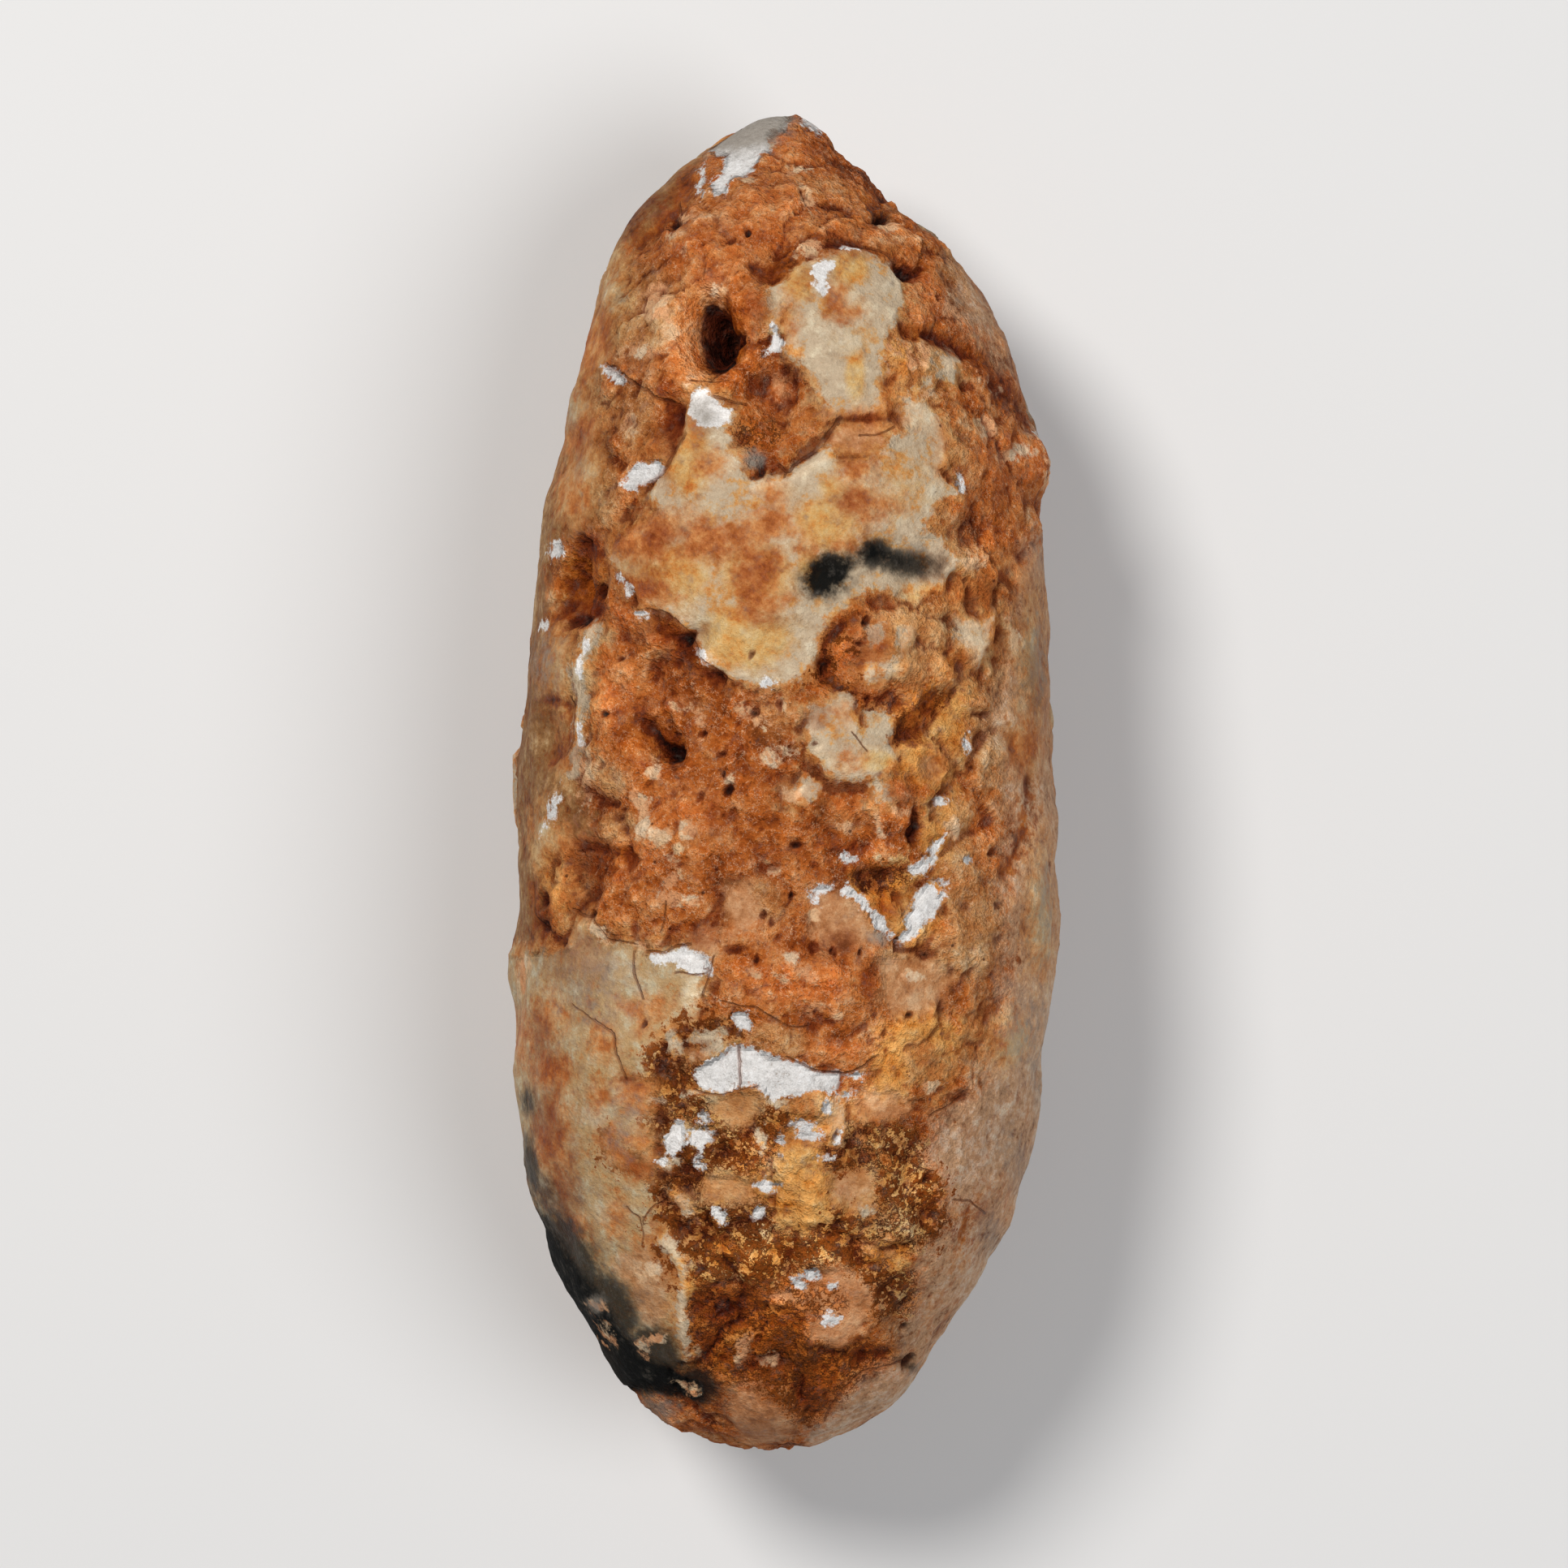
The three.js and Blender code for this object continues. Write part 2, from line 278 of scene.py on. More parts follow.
# Smooth dusty pink and mauve places.
DUSTY = [
    spot(-3, 208, 5, 6), area(13, -53, 29, -54, 41, -66, 48, -79, 44, -86, 32, -84, 22, -89, 12, -78),
    area(25, -200, 40, -199, 51, -204, 49, -220, 34, -224, 25, -214),
    area(-29, -317, -20, -313, -8, -316, 0, -320, 5, -327, 8, -334, 4, -341, -6, -346, -19, -344, -26, -338,
         -30, -329),
    area(24, 186, 30, 191, 46, 190, 58, 188, 64, 184, 53, 180, 54, 170, 44, 171, 30, 171, 20, 177),
    area(-88, -251, -82, -244, -78, -240, -70, -240, -64, -243, -59, -248, -55, -254, -52, -260, -56, -266,
         -55, -273, -60, -278, -62, -286, -68, -284, -76, -277, -80, -270, -79, -263, -86, -258),
    area(12, -283, 12, -290, 20, -294, 30, -297, 36, -289, 42, -282, 46, -272, 48, -263, 40, -254, 30, -251,
         20, -253, 16, -259, 6, -262, 3, -268, 10, -273, 15, -279),
    area(49, -92, 62, -90, 78, -93, 88, -100, 82, -112, 74, -120, 58, -122, 50, -114),
    area(-49, -79, -34, -77, -33, -87, -37, -92, -46, -87),
    area(-30, -53, -18, -51, -12, -62, -14, -78, -29, -80, -31, -68),
    area(-36, -163, -24, -160, -14, -162, -12, -170, -20, -179, -31, -178, -38, -171),
    area(-42, -206, -28, -204, -15, -208, -14, -218, -26, -221, -38, -220, -43, -215), spot(-5, -268, 7, 4),
    spot(76, 9, 5, 8), spot(45, 63, 8, 11), spot(50, -169, 14, 9),
]

# Cream agate plates.
CREAM = [
    area(-8, 254, -7, 259, -3, 261, 0, 262, 2, 267, 6, 271, 12, 274, 21, 275, 29, 279, 36, 281, 42, 279, 48,
         275, 56, 273, 60, 269, 62, 262, 63, 255, 60, 248, 59, 242, 55, 238, 53, 232, 52, 226, 51, 220, 56,
         217, 53, 212, 51, 208, 53, 201, 53, 196, 47, 194, 36, 194, 29, 193, 22, 192, 22, 198, 19, 204, 17,
         210, 15, 216, 10, 221, 3, 225, 0, 230, 1, 238, 3, 249, -2, 249, -3, 244, -5, 242, -6, 248),
    area(-50, 202, -42, 208, -34, 203, -26, 194, -28, 184, -29, 176, -24, 172, -22, 165, -18, 160, -10, 159,
         1, 162, 8, 169, 16, 173, 21, 178, 29, 170, 42, 170, 54, 176, 56, 182, 64, 186, 60, 196, 63, 203,
         72, 199, 79, 195, 81, 184, 84, 175, 81, 164, 87, 153, 78, 147, 74, 138, 70, 132, 82, 128, 89, 116,
         83, 102, 66, 99, 52, 102, 42, 101, 30, 92, 21, 85, 17, 77, 16, 69, 13, 61, 8, 55, 0, 53, -14, 53,
         -24, 55, -30, 57, -36, 61, -43, 65, -46, 73, -51, 80, -57, 87, -63, 91, -71, 93, -77, 100, -83,
         108, -90, 115, -88, 126, -78, 134, -64, 143, -72, 152, -66, 160, -60, 167, -55, 176, -52, 188),
    area(13, 39, 16, 42, 20, 40, 24, 43, 30, 48, 34, 45, 36, 40, 39, 35, 40.5, 31, 42, 35, 45, 38, 53, 38,
         58, 35, 58, 30, 55, 26, 54, 22, 58, 18, 56, 12, 54, 7, 49, 6, 44, 3, 37, 2, 30, 3, 26, 5, 21, 9,
         17, 13, 13, 16, 14, 23, 12, 29),
    area(90, 89, 96, 88, 101, 86, 105, 90, 109, 92, 112, 91, 110, 86, 108, 82, 107, 74, 104, 68, 102, 63,
         98, 63, 95, 68, 92, 72, 91, 80), area(56, 72, 58, 83, 66, 84, 68, 76, 64, 72, 60, 68),
    area(44, 83, 50, 84, 52, 76, 49, 69, 44, 72, 42, 78), spot(55, 62, 4.5, 3, 30), spot(44, 59, 3, 4),
    area(44, 1, 51, 1, 52, -4, 54, -8, 50, -8, 47, -3),
    area(61, 202, 66, 206, 72, 211, 78, 215, 76, 210, 70, 204, 66, 200),
    line(4, -62, -238, -56, -244, -51, -251, -49, -260, -52, -270, -53, -280, -51, -290, -48, -298),
    spot(12, -3.5, 7, 5, 15), spot(86, 218, 6, 8),
    line(5, -48, -134, -42, -132, -33, -131, -33, -136, -40, -139, -47, -142), spot(16, -180, 9, 3.5, 10),
    spot(-12, -186, 3.5, 6), spot(-46, -160, 5, 2.5, 20), spot(-4, -166, 5, 2.5), spot(-58, -135, 3.5, 5),
    line(4.5, -58, -213, -54, -219, -49, -224), spot(-63, -199, 5, 3), spot(44, -223, 4, 2.5),
    spot(27, -177, 5, 10), line(5.5, -99, 82, -103, 72, -106, 60, -106, 46, -106, 32, -108, 20, -110, 6),
    spot(66, 100, 6, 4),
]

# Grey-cream agate of the lower left cheek.
PALE = [
    area(-113, 209, -107, 207, -103, 198, -106, 185, -112, 183), spot(-104, 164, 5, 7),
    spot(-116, 62, 6, 13), spot(-89, 256, 4, 8, -10), spot(129, 60, 5, 20), spot(116, -134, 8, 10, -15),
    spot(132, -68, 4.5, 18),
    area(-112, -86, -108, -70, -102, -69, -96, -75, -92, -81, -85, -83, -74, -85, -69, -88, -58, -86, -49,
         -86, -38, -93, -41, -100, -42, -110, -44, -120, -52, -126, -59, -131, -65, -136, -69, -145, -69,
         -200, -66, -214, -60, -226, -54, -236, -49, -244, -46, -260, -50, -280, -47, -298, -90, -320, -140,
         -270, -160, -180, -160, -90, -134, -88, -122, -88), spot(-124, -25, 3.5, 6),
]

# Orange stain over the pale places.
STAIN = [
    spot(125, 20, 9, 12), line(7, -109, 178, -103, 185, -96, 192), spot(-99, 228, 7, 14, -15),
    spot(-109, 150, 7, 10), spot(-122, -152, 7, 6), spot(-122, -190, 6, 9), spot(-120, -122, 7, 6),
    spot(116, 112, 6, 8), spot(104, -128, 7, 10, -20),
    area(21, 246, 24, 252, 26, 259, 29, 261, 32, 254, 33, 249, 39, 249, 38, 245, 32, 244, 24, 245),
    spot(1, 242, 3, 6.5), spot(-37, 167, 6, 6),
    area(31, 170, 49, 170, 44, 163, 41, 158, 48, 151, 59, 152, 61, 146, 53, 143, 46, 139, 40, 138, 30, 142,
         30, 148, 33, 153, 30, 160),
    area(-49, 143, -44, 139, -38, 135, -24, 135, -19, 140, -14, 142, -8, 146, -11, 153, -8, 156, -1, 155, 0,
         147, 5, 136, 8, 132, 0, 131, -4, 129, -8, 125, -12, 122, -24, 122, -32, 116, -44, 118, -49, 120,
         -55, 120, -52, 128),
    area(-22, 119, -10, 120, -10, 110, -11, 102, -3, 98, 2, 98, -1, 92, -6, 88, -16, 87, -23, 89, -22, 97,
         -21, 106),
    area(-90, 130, -84, 136, -70, 142, -56, 140, -53, 134, -60, 126, -64, 116, -76, 114, -86, 120),
    spot(34, 126, 5.5, 3.5), spot(-14, 112, 12, 15), spot(-72, 102, 13, 6, -20),
    spot(-112, -49, 3.5, 14, 8), spot(12, 123, 4, 3.5), spot(41, 192, 15, 2.5),
    area(89, 91, 90, 103, 96, 110, 106, 110, 111, 106, 113, 98, 108, 93, 103, 86, 96, 88),
    spot(111, 74, 3.5, 9), area(-86, -115, -76, -113, -64, -112, -61, -118, -68, -123, -78, -122),
    spot(-73, -125, 3, 3.5), spot(-120, -121, 5, 9),
    area(-130, -146, -122, -141, -113, -144, -111, -152, -116, -158, -124, -154), spot(-117, -186, 4.5, 18),
    spot(-135, -134, 4, 9), spot(-94, -136, 4.5, 6), spot(-95, -164, 4, 4),
    area(-86, -155, -76, -157, -69, -158, -69, -170, -78, -170, -85, -164),
    line(5, -89, -181, -89, -188, -86, -194, -81, -198, -75, -202, -70, -199, -69, -193),
    spot(-76, -187, 6, 5), spot(-110, -232, 7, 6), spot(-87, -226, 4, 5), spot(86, 14, 4, 6),
    area(86, 54, 90, 70, 96, 68, 99, 58, 94, 50), spot(35, 13, 3.5, 2.8), spot(30, 37, 3, 3),
    spot(-69, 176, 7, 5),
    area(68, -134, 74, -136, 82, -144, 83, -160, 77, -166, 76, -154, 69, -152, 67, -142),
    area(10, -164, 16, -162, 18, -172, 12, -175, 8, -170), line(3.5, 83, 184, 86, 174, 83, 164),
    line(4, 56, 194, 55, 204, 58, 212),
]

# Mottled cream and brown ground of the iron crust.
CRUST = [
    area(-55, -126, -64, -135, -70, -146, -70, -160, -68, -175, -70, -190, -69, -205, -65, -217, -60, -226,
         -53, -235, -47, -244, -43, -260, -30, -264, -6, -264, 6, -254, 18, -252, 34, -250, 44, -256, 50,
         -274, 64, -276, 66, -260, 64, -248, 72, -238, 81, -228, 81, -214, 72, -202, 70, -184, 56, -178, 40,
         -178, 32, -162, 4, -162, -24, -160, -46, -158, -47, -149, -34, -142, -24, -134, -26, -126, -40,
         -124),
    area(35, -50, 42, -50, 50, -41, 56, -39, 64, -37, 67, -44, 72, -49, 72, -53, 69, -58, 68, -64, 65, -69,
         67, -72, 65, -78, 61, -80, 57, -78, 54, -73, 50, -69, 46, -63, 41, -59, 36, -56),
]

# Brown iron specks.
RUST = [
    area(-69, -140, -58, -142, -49, -146, -46, -160, -38, -174, -42, -178, -52, -172, -62, -178, -65, -194,
         -50, -192, -40, -186, -34, -178, -24, -180, -10, -174, -4, -166, 2, -174, -6, -184, -10, -198, -20,
         -203, -40, -204, -44, -216, -54, -212, -62, -212, -52, -224, -34, -222, -16, -218, -10, -222, -10,
         -230, -4, -240, 12, -242, 24, -234, 30, -244, 16, -250, -6, -264, -30, -266, -46, -256, -50, -240,
         -64, -224, -70, -200, -72, -170),
    area(24, -188, 36, -180, 50, -180, 70, -182, 72, -194, 68, -202, 81, -212, 82, -228, 72, -238, 60, -244,
         40, -242, 52, -254, 66, -256, 66, -274, 50, -276, 46, -258, 30, -246, 30, -226, 44, -229, 52, -218,
         52, -200, 24, -198), area(36, -50, 50, -47, 62, -45, 64, -50, 56, -54, 46, -54),
    area(4, -264, 14, -266, 28, -266, 30, -274, 20, -276, 8, -272),
    area(70, -140, 78, -142, 82, -150, 80, -166, 74, -154, 68, -150), spot(-79, -193, 9, 5, -30),
    area(-48, -266, -36, -259, -10, -266, 8, -278, 10, -292, 30, -298, 54, -298, 40, -308, 26, -320, 16,
         -332, 6, -330, -2, -318, -24, -310, -42, -306, -49, -290), spot(-14, 184, 8, 5),
]

# Solid deep brown, partly the stone's own dark iron colour and partly painted shade: the lower basin, grooves
# and socket walls.
DEEP = [
    line(5, 126.5, -4, 125, -20, 122, -32, 115, -47), spot(94, -232, 3.5, 9, -10),
    spot(119, 22, 3.5, 9, 10), area(-80, 37, -70, 36, -61, 29, -52, 22, -51, 13, -59, 8, -68, 11, -74, 22),
    area(-50, -271, -44, -264, -39, -259, -29, -261, -16, -263, -10, -272, 3, -273, 10, -280, 10, -290, 20,
         -295, 30, -298, 38, -290, 46, -294, 57, -296, 54, -302, 44, -306, 36, -310, 30, -316, 27, -324, 22,
         -331, 13, -333, 6, -329, 3, -322, -8, -315, -20, -311, -32, -315, -40, -309, -44, -301, -49, -292),
    area(-49, 320, -46, 313, -50, 306, -55, 295, -59, 291, -66, 289, -73, 284, -79, 279, -81, 282, -75, 289,
         -67, 294, -60, 297, -59, 304, -55, 312),
    line(6, 13, 287, 20, 284, 30, 283.5, 40, 283, 46, 280, 52, 278, 60, 275, 73, 271),
    area(-19, 272, -10, 276, -3, 281, 3, 283, 6, 276, 7, 272, 3, 268, 0, 263, -6, 261, -12, 264, -16, 268),
    line(7, 64, 239, 72, 234, 80, 234, 88, 231, 96, 225, 101, 221),
    line(4, 101, 221, 106, 217, 111, 210, 116, 204, 120, 197), line(4, 43, 308, 47, 302, 51, 297),
    area(-105, 131, -99, 126, -94, 119, -92, 108, -94, 96, -98, 88, -104, 83, -114, 81, -118, 90, -117, 104,
         -115, 116, -111, 126),
    area(-46, 254, -36, 257, -27, 254, -23, 245, -21, 234, -21, 224, -28, 220, -36, 216, -46, 219),
    area(-69, 91, -60, 88, -52, 80, -47, 72, -40, 61, -32, 58, -30, 51, -38, 50, -48, 60, -58, 72, -68, 80),
    line(4, 33, 50, 38, 46, 43, 44, 49, 44),
    area(-66, 204, -59, 203, -52, 199, -52, 186, -53, 178, -59, 170, -63, 176, -64, 190),
    line(3, -124, 42, -119, 44, -114, 42, -111, 35, -112, 25, -115, 16, -119, 11),
    line(5, -110, -30, -100, -34, -88, -36, -80, -38), spot(-103, -48, 2, 9, 10),
    area(91, 50, 84, 53, 77, 49, 71, 41, 63, 37, 59, 32, 60, 24, 66, 22, 76, 22, 78, 30, 83, 39, 89, 44),
    line(5, 39, -49, 48, -47, 58, -43, 66, -44),
    line(4.5, 38, 90, 30, 84, 23, 74, 20, 64, 20, 56, 26, 52, 34, 51),
    line(3, -130, -52, -129, -64, -128, -74, -123, -80, -116, -83), line(4, 69, -13, 69, -22, 67, -29),
    line(3, -85, -154.5, -79, -155, -75, -158, -70, -157),
    line(3, 127, 4, 126, -6, 124, -20, 122, -30, 119, -39), spot(115, -45, 3.5, 4),
    spot(92, -164, 3.5, 1.8, 15), spot(60, 40, 3, 2), spot(72, 31, 5, 4, 40), spot(13, -86, 5, 5),
    spot(-25, -87, 5, 2),
]

# Clots of dark iron in the crust, broken up by lighter grains.
CLOT = [
    area(-64, -135, -59, -141, -55, -145, -51, -148, -53, -154, -51, -162, -48, -168, -54, -166, -59, -159,
         -65, -161, -70, -157, -69, -145),
    area(-55, -126, -51, -127, -46, -129, -42, -124, -36, -125, -28, -125, -24, -130, -26, -135, -28, -132,
         -32, -129, -42, -129, -47, -133, -49, -139, -53, -138, -56, -131),
    line(3.5, -46, -139, -42, -136, -38, -135), line(4, -58, -143, -52, -145, -46, -146),
    area(-60, -193, -54, -194, -49, -192, -44, -196, -41, -200, -43, -207, -48, -210, -44, -215, -47, -218,
         -53, -214, -59, -210, -65, -209, -68, -204, -61, -202),
    area(-39, -189, -32, -190, -20, -189, -18, -196, -22, -201, -32, -201, -39, -198),
    spot(-20, -184, 6, 2.5, 5), spot(-7, -172, 7, 3.5, 5), line(4, -68, -164, -69, -178, -68, -192),
    line(5, -65, -213, -60, -223, -54, -231, -49, -238),
    area(-31, -225, -22, -222, -16, -224, -14, -232, -15, -240, -22, -235, -30, -234),
    spot(-45, -226, 4, 2.5), spot(-41, -234, 4, 4),
    area(29, -225, 33, -228, 31, -235, 30, -242, 24, -240, 23, -233), spot(36, -244, 5, 4),
    area(44, -249, 52, -252, 58, -258, 60, -266, 56, -274, 50, -274, 50, -264, 46, -256),
    spot(30, -194, 2.5, 4), spot(78, -222, 3, 7), spot(66, -206, 3, 5, 30),
    area(38, -49, 44, -49, 52, -47, 50, -53, 45, -56, 42, -54), line(1.6, 21, 54, 22, 60, 25, 65),
    spot(25, 52, 4, 1.2, -20), spot(29, 74, 2, 1.4),
    area(-69, -188, -63, -196, -54, -199, -60, -208, -68, -206),
    line(1.6, 82, 49, 74, 45, 67, 39, 62, 34, 60, 27),
    area(4, -290, 16, -296, 14, -310, 20, -322, 12, -330, 6, -322, -6, -312, -4, -300),
    spot(62, -188, 5, 4, 20), line(3, 56, -210, 64, -214, 70, -222, 74, -228),
    line(3.5, -91, -185, -90, -192, -84, -198, -78, -198, -74, -194),
    line(3, -56, -220, -48, -229, -44, -240, -44, -254), spot(4, -246, 7, 3, 10),
    spot(-22, -254, 9, 3.5, -10), spot(-59, -249, 3, 6, 40),
]

# Pinkish cream flakes that lie one by one, as spots.
FLAKE_SPOTS = [
    (12, 280, 6, 5, -30), (-50, 296, 5, 3, 10), (-59, 286, 2, 2), (-52, 278, 1.5, 1.5), (-36, 259, 3, 1.2),
    (-7, 14, 6, 4, 20), (1, 18, 5, 4), (-15, 35, 3.5, 2.5, -30), (-21, 40, 4, 1.5, -35), (-2, 42, 3.5, 3),
    (-45, 34, 1.8, 4, 25), (-58, 40, 3, 1.5), (-27, 4, 2, 2), (-69, 8, 3.5, 3), (-52, -24, 5, 4, -20),
    (-64, -26, 5, 4), (-15, -42, 2.5, 2), (-5, -46, 3.5, 2.5), (-58, -39, 3, 2), (-59, -50, 5, 3.5, 10),
    (-58, -60, 5, 3, -20), (-47, -61, 3.5, 2.5), (4, -6, 5, 4), (4, -90, 3, 3.5), (-14, -99, 2.5, 2),
    (0, -103, 2.5, 1.5, -30), (13, -100, 3.5, 5, 30), (15, -117, 4, 3), (-34, -114, 4, 2, -20),
    (28, -122, 2.5, 2), (57, -92, 2.5, 1.5, -20), (65, -101, 5, 3, -20), (60, -14, 5, 1.5, 10),
    (35, -23, 3.5, 2), (50, -23, 1.5, 3.5, 20), (88, -24, 4, 6), (74, 224, 1.5, 4, -10), (57, 228, 3, 2),
    (64, 229, 4, 2), (74, 203, 4, 2), (66, 220, 4, 3.5), (106, 185, 4, 6, -20), (118, 172, 7, 3.5, 10),
    (104, 212, 5, 1.5, -35), (-68, 252, 8, 10), (-60, 236, 4, 5), (-76, 226, 8, 3), (-81, 189, 3, 8),
    (-24, -303, 3.5, 3), (-22, -297, 3, 2), (-8, -306, 3, 2), (-69, -254, 6, 5), (76, -159, 4, 2.5),
    (-66, -166, 2, 1.5), (-46, -232, 1.5, 3), (32, -164, 4, 1.5, 20), (-104, 8, 3.5, 14), (15, -70, 4, 3),
    (99, 116, 5, 3), (120, 76, 2.5, 4), (12, 306, 4, 5, 30), (6, 322, 5, 3), (54, 290, 5, 3, 20),
    (88, 250, 1.5, 3.5), (-9, 335, 3, 2.5), (132.5, 164, 2, 8, 5), (130, 183, 2.5, 3.5, 30),
    (-136, -98, 2.5, 9), (-20, 315, 3, 2.5), (-97, -76, 3, 5, 35), (-75, -84, 4, 1.2), (124, -9, 1.5, 3),
]
FLAKE = [spot(*place) for place in FLAKE_SPOTS] + [
    area(-83, -1, -79, 0, -76, -4, -71, -10, -69, -16, -70, -22, -73, -29, -77, -28, -78, -22, -78, -14,
         -81, -8), spot(-71, -293, 3.5, 3), spot(-66, -289, 4, 2), spot(-93, -286, 2, 5, 30),
    line(2, -58, -315, -52, -317, -46, -319), spot(-98, -273, 3, 2),
]

# Smooth tan grains inside the crust.
GRAIN_PATCH = [
    area(64, 88, 76, 89, 86, 82, 88, 70, 82, 60, 84, 54, 76, 52, 68, 46, 60, 44, 56, 52, 60, 64, 60, 76),
    area(-36, -165, -26, -162, -18, -160, -10, -162, -12, -170, -16, -175, -20, -180, -28, -179, -33, -174,
         -38, -170), area(-42, -205, -28, -204, -17, -208, -15, -218, -26, -220, -38, -219, -42, -214),
    area(-60, -213, -50, -214, -45, -219, -52, -223, -58, -220),
    area(-57, -141, -49, -139, -42, -141, -43, -145, -50, -146),
    area(43, -242, 52, -240, 60, -242, 59, -249, 49, -251),
    area(22, -166, 32, -167, 34, -178, 30, -188, 22, -186, 20, -176),
]

# White chalk.
CHALK = [
    area(-40, 331, -32, 339, -24, 346, -14, 352, -4, 356, 6, 355, 1, 345, -6, 343, -9, 340, -8, 334, -11,
         329, -15, 324, -19, 320, -25, 317, -29, 313, -32, 309, -36, 309, -38, 314, -33, 319, -31, 324, -29,
         330), spot(-43, 315, 1.8, 5, -15), line(3, 10, 348, 20, 342),
    area(15, 271, 19, 273, 25, 271, 23, 267, 22, 263, 23, 259, 21, 256, 18, 257, 15, 261, 16, 265),
    spot(33, 279, 3.5, 1.5),
    area(-11, 225, -9, 229, -7, 232, -6, 241, -4, 240, -2, 235, 0, 231, -2, 228, -6, 227),
    area(-94, 218, -90, 219, -87, 216, -83, 212, -84, 209, -88, 209, -91, 212),
    area(-49, 202, -44, 207, -40, 206, -37, 202, -32, 199, -28, 194, -29, 189, -34, 186, -43, 188, -47, 191,
         -49, 197),
    area(-85, 157, -81, 164, -75, 168, -67, 169, -63, 167, -64, 162, -69, 158, -75, 156, -80, 154),
    spot(92, 157, 1.5, 4, -10), line(3.5, 131, 185, 135, 179, 136, 171), spot(-118, 122, 2.5, 4, -20),
    spot(-124, 83, 2, 2.2), line(1.4, -87, 110, -82, 103, -79, 98), spot(-75, 89, 3.5, 2.2),
    spot(-43, 68, 2.2, 5, 35), spot(-7.5, 53, 3.8, 2.2), spot(96, 21, 1.6, 3), spot(82, -8, 2.5, 2),
    spot(96, -39, 2.5, 2),
    area(-69, -89, -64, -89, -58, -88, -54, -86, -49, -87, -44, -89, -38, -92, -37, -95, -39, -99, -42, -99,
         -50, -99, -53, -96, -56, -92, -62, -94, -67, -95, -69, -92),
    area(29, -53, 33, -51, 35, -55, 38, -58, 42, -59, 44, -64, 48, -69, 52, -71, 54, -75, 57, -78, 56, -80,
         52, -79, 48, -78, 46, -73, 43, -68, 40, -64, 35, -60, 30, -58),
    area(59, -81, 62, -84, 66, -81, 69, -76, 74, -73, 78, -69, 81, -64, 83, -59, 85, -56, 80, -59, 81, -53,
         76, -52, 71, -57, 68, -61, 67, -66, 63, -70, 65, -75, 61, -78), spot(84, -53, 2, 2),
    spot(74, -43, 6, 3.2, 25), line(1.6, 78, -40, 81, -33, 82, -28), spot(80, -32, 2, 3.5, -20),
    spot(34, -39, 5, 2.2, -10), spot(20, -55, 6, 1.8, 5), spot(15, -60, 1.5, 3, 20),
    area(-47, -150, -43, -147, -37, -145, -32, -142, -28, -137, -24, -137, -20, -137, -16, -137, -12, -140,
         -6, -143, 2, -144, 8, -145, 14, -149, 22, -151.5, 30, -151.5, 30, -156, 25, -161, 18, -161, 8,
         -161, 2, -163, -4, -165, -8, -164, -10, -160, -16, -158, -21, -157, -25, -159, -32, -162, -39,
         -160, -45, -157),
    area(-27, -122, -23, -119, -19, -119, -17, -123, -16, -128, -22, -129, -25, -126),
    spot(39, -152, 3.5, 1.5, 10), spot(33, -162, 3.5, 1.6, 20), spot(26, -162, 3, 1.4, -30),
    area(-64, -188, -61, -182, -58, -176, -53, -177, -52, -184, -53, -190, -57, -194, -61, -193),
    area(-50, -181, -44, -180, -38, -182, -39, -186, -44, -191, -49, -189), spot(-65, -198, 3, 2.2),
    spot(-45, -199, 3, 2, -30), spot(-43, -175, 3, 2.2),
    area(-16, -210, -12, -207, -9, -205, -5, -208, -1, -209, -4, -212, -9, -213, -14, -213),
    area(-38, -222, -34, -220, -32, -225, -30, -228, -34, -230, -37, -226), spot(-14, -225, 2, 3.5, -30),
    spot(10, -178, 4.5, 2), spot(13, -184, 5, 2.5, -10), spot(-2, -186, 2, 2), spot(-4, -196, 1.8, 1.2),
    spot(18, -196, 3.5, 1.2, 10), spot(22, -170, 1.8, 3), spot(29, -184, 1.6, 3, -20),
    spot(8, -262, 4.5, 2.5), spot(15, -257, 3.5, 3.5), spot(24, -263, 2.8, 2), spot(25, -279, 3.5, 2.5),
    line(1.4, -102, 76, -104.5, 68, -105.5, 58), line(1.2, -105.5, 32, -107, 22),
    spot(-119, -13, 2, 7, -15),
]
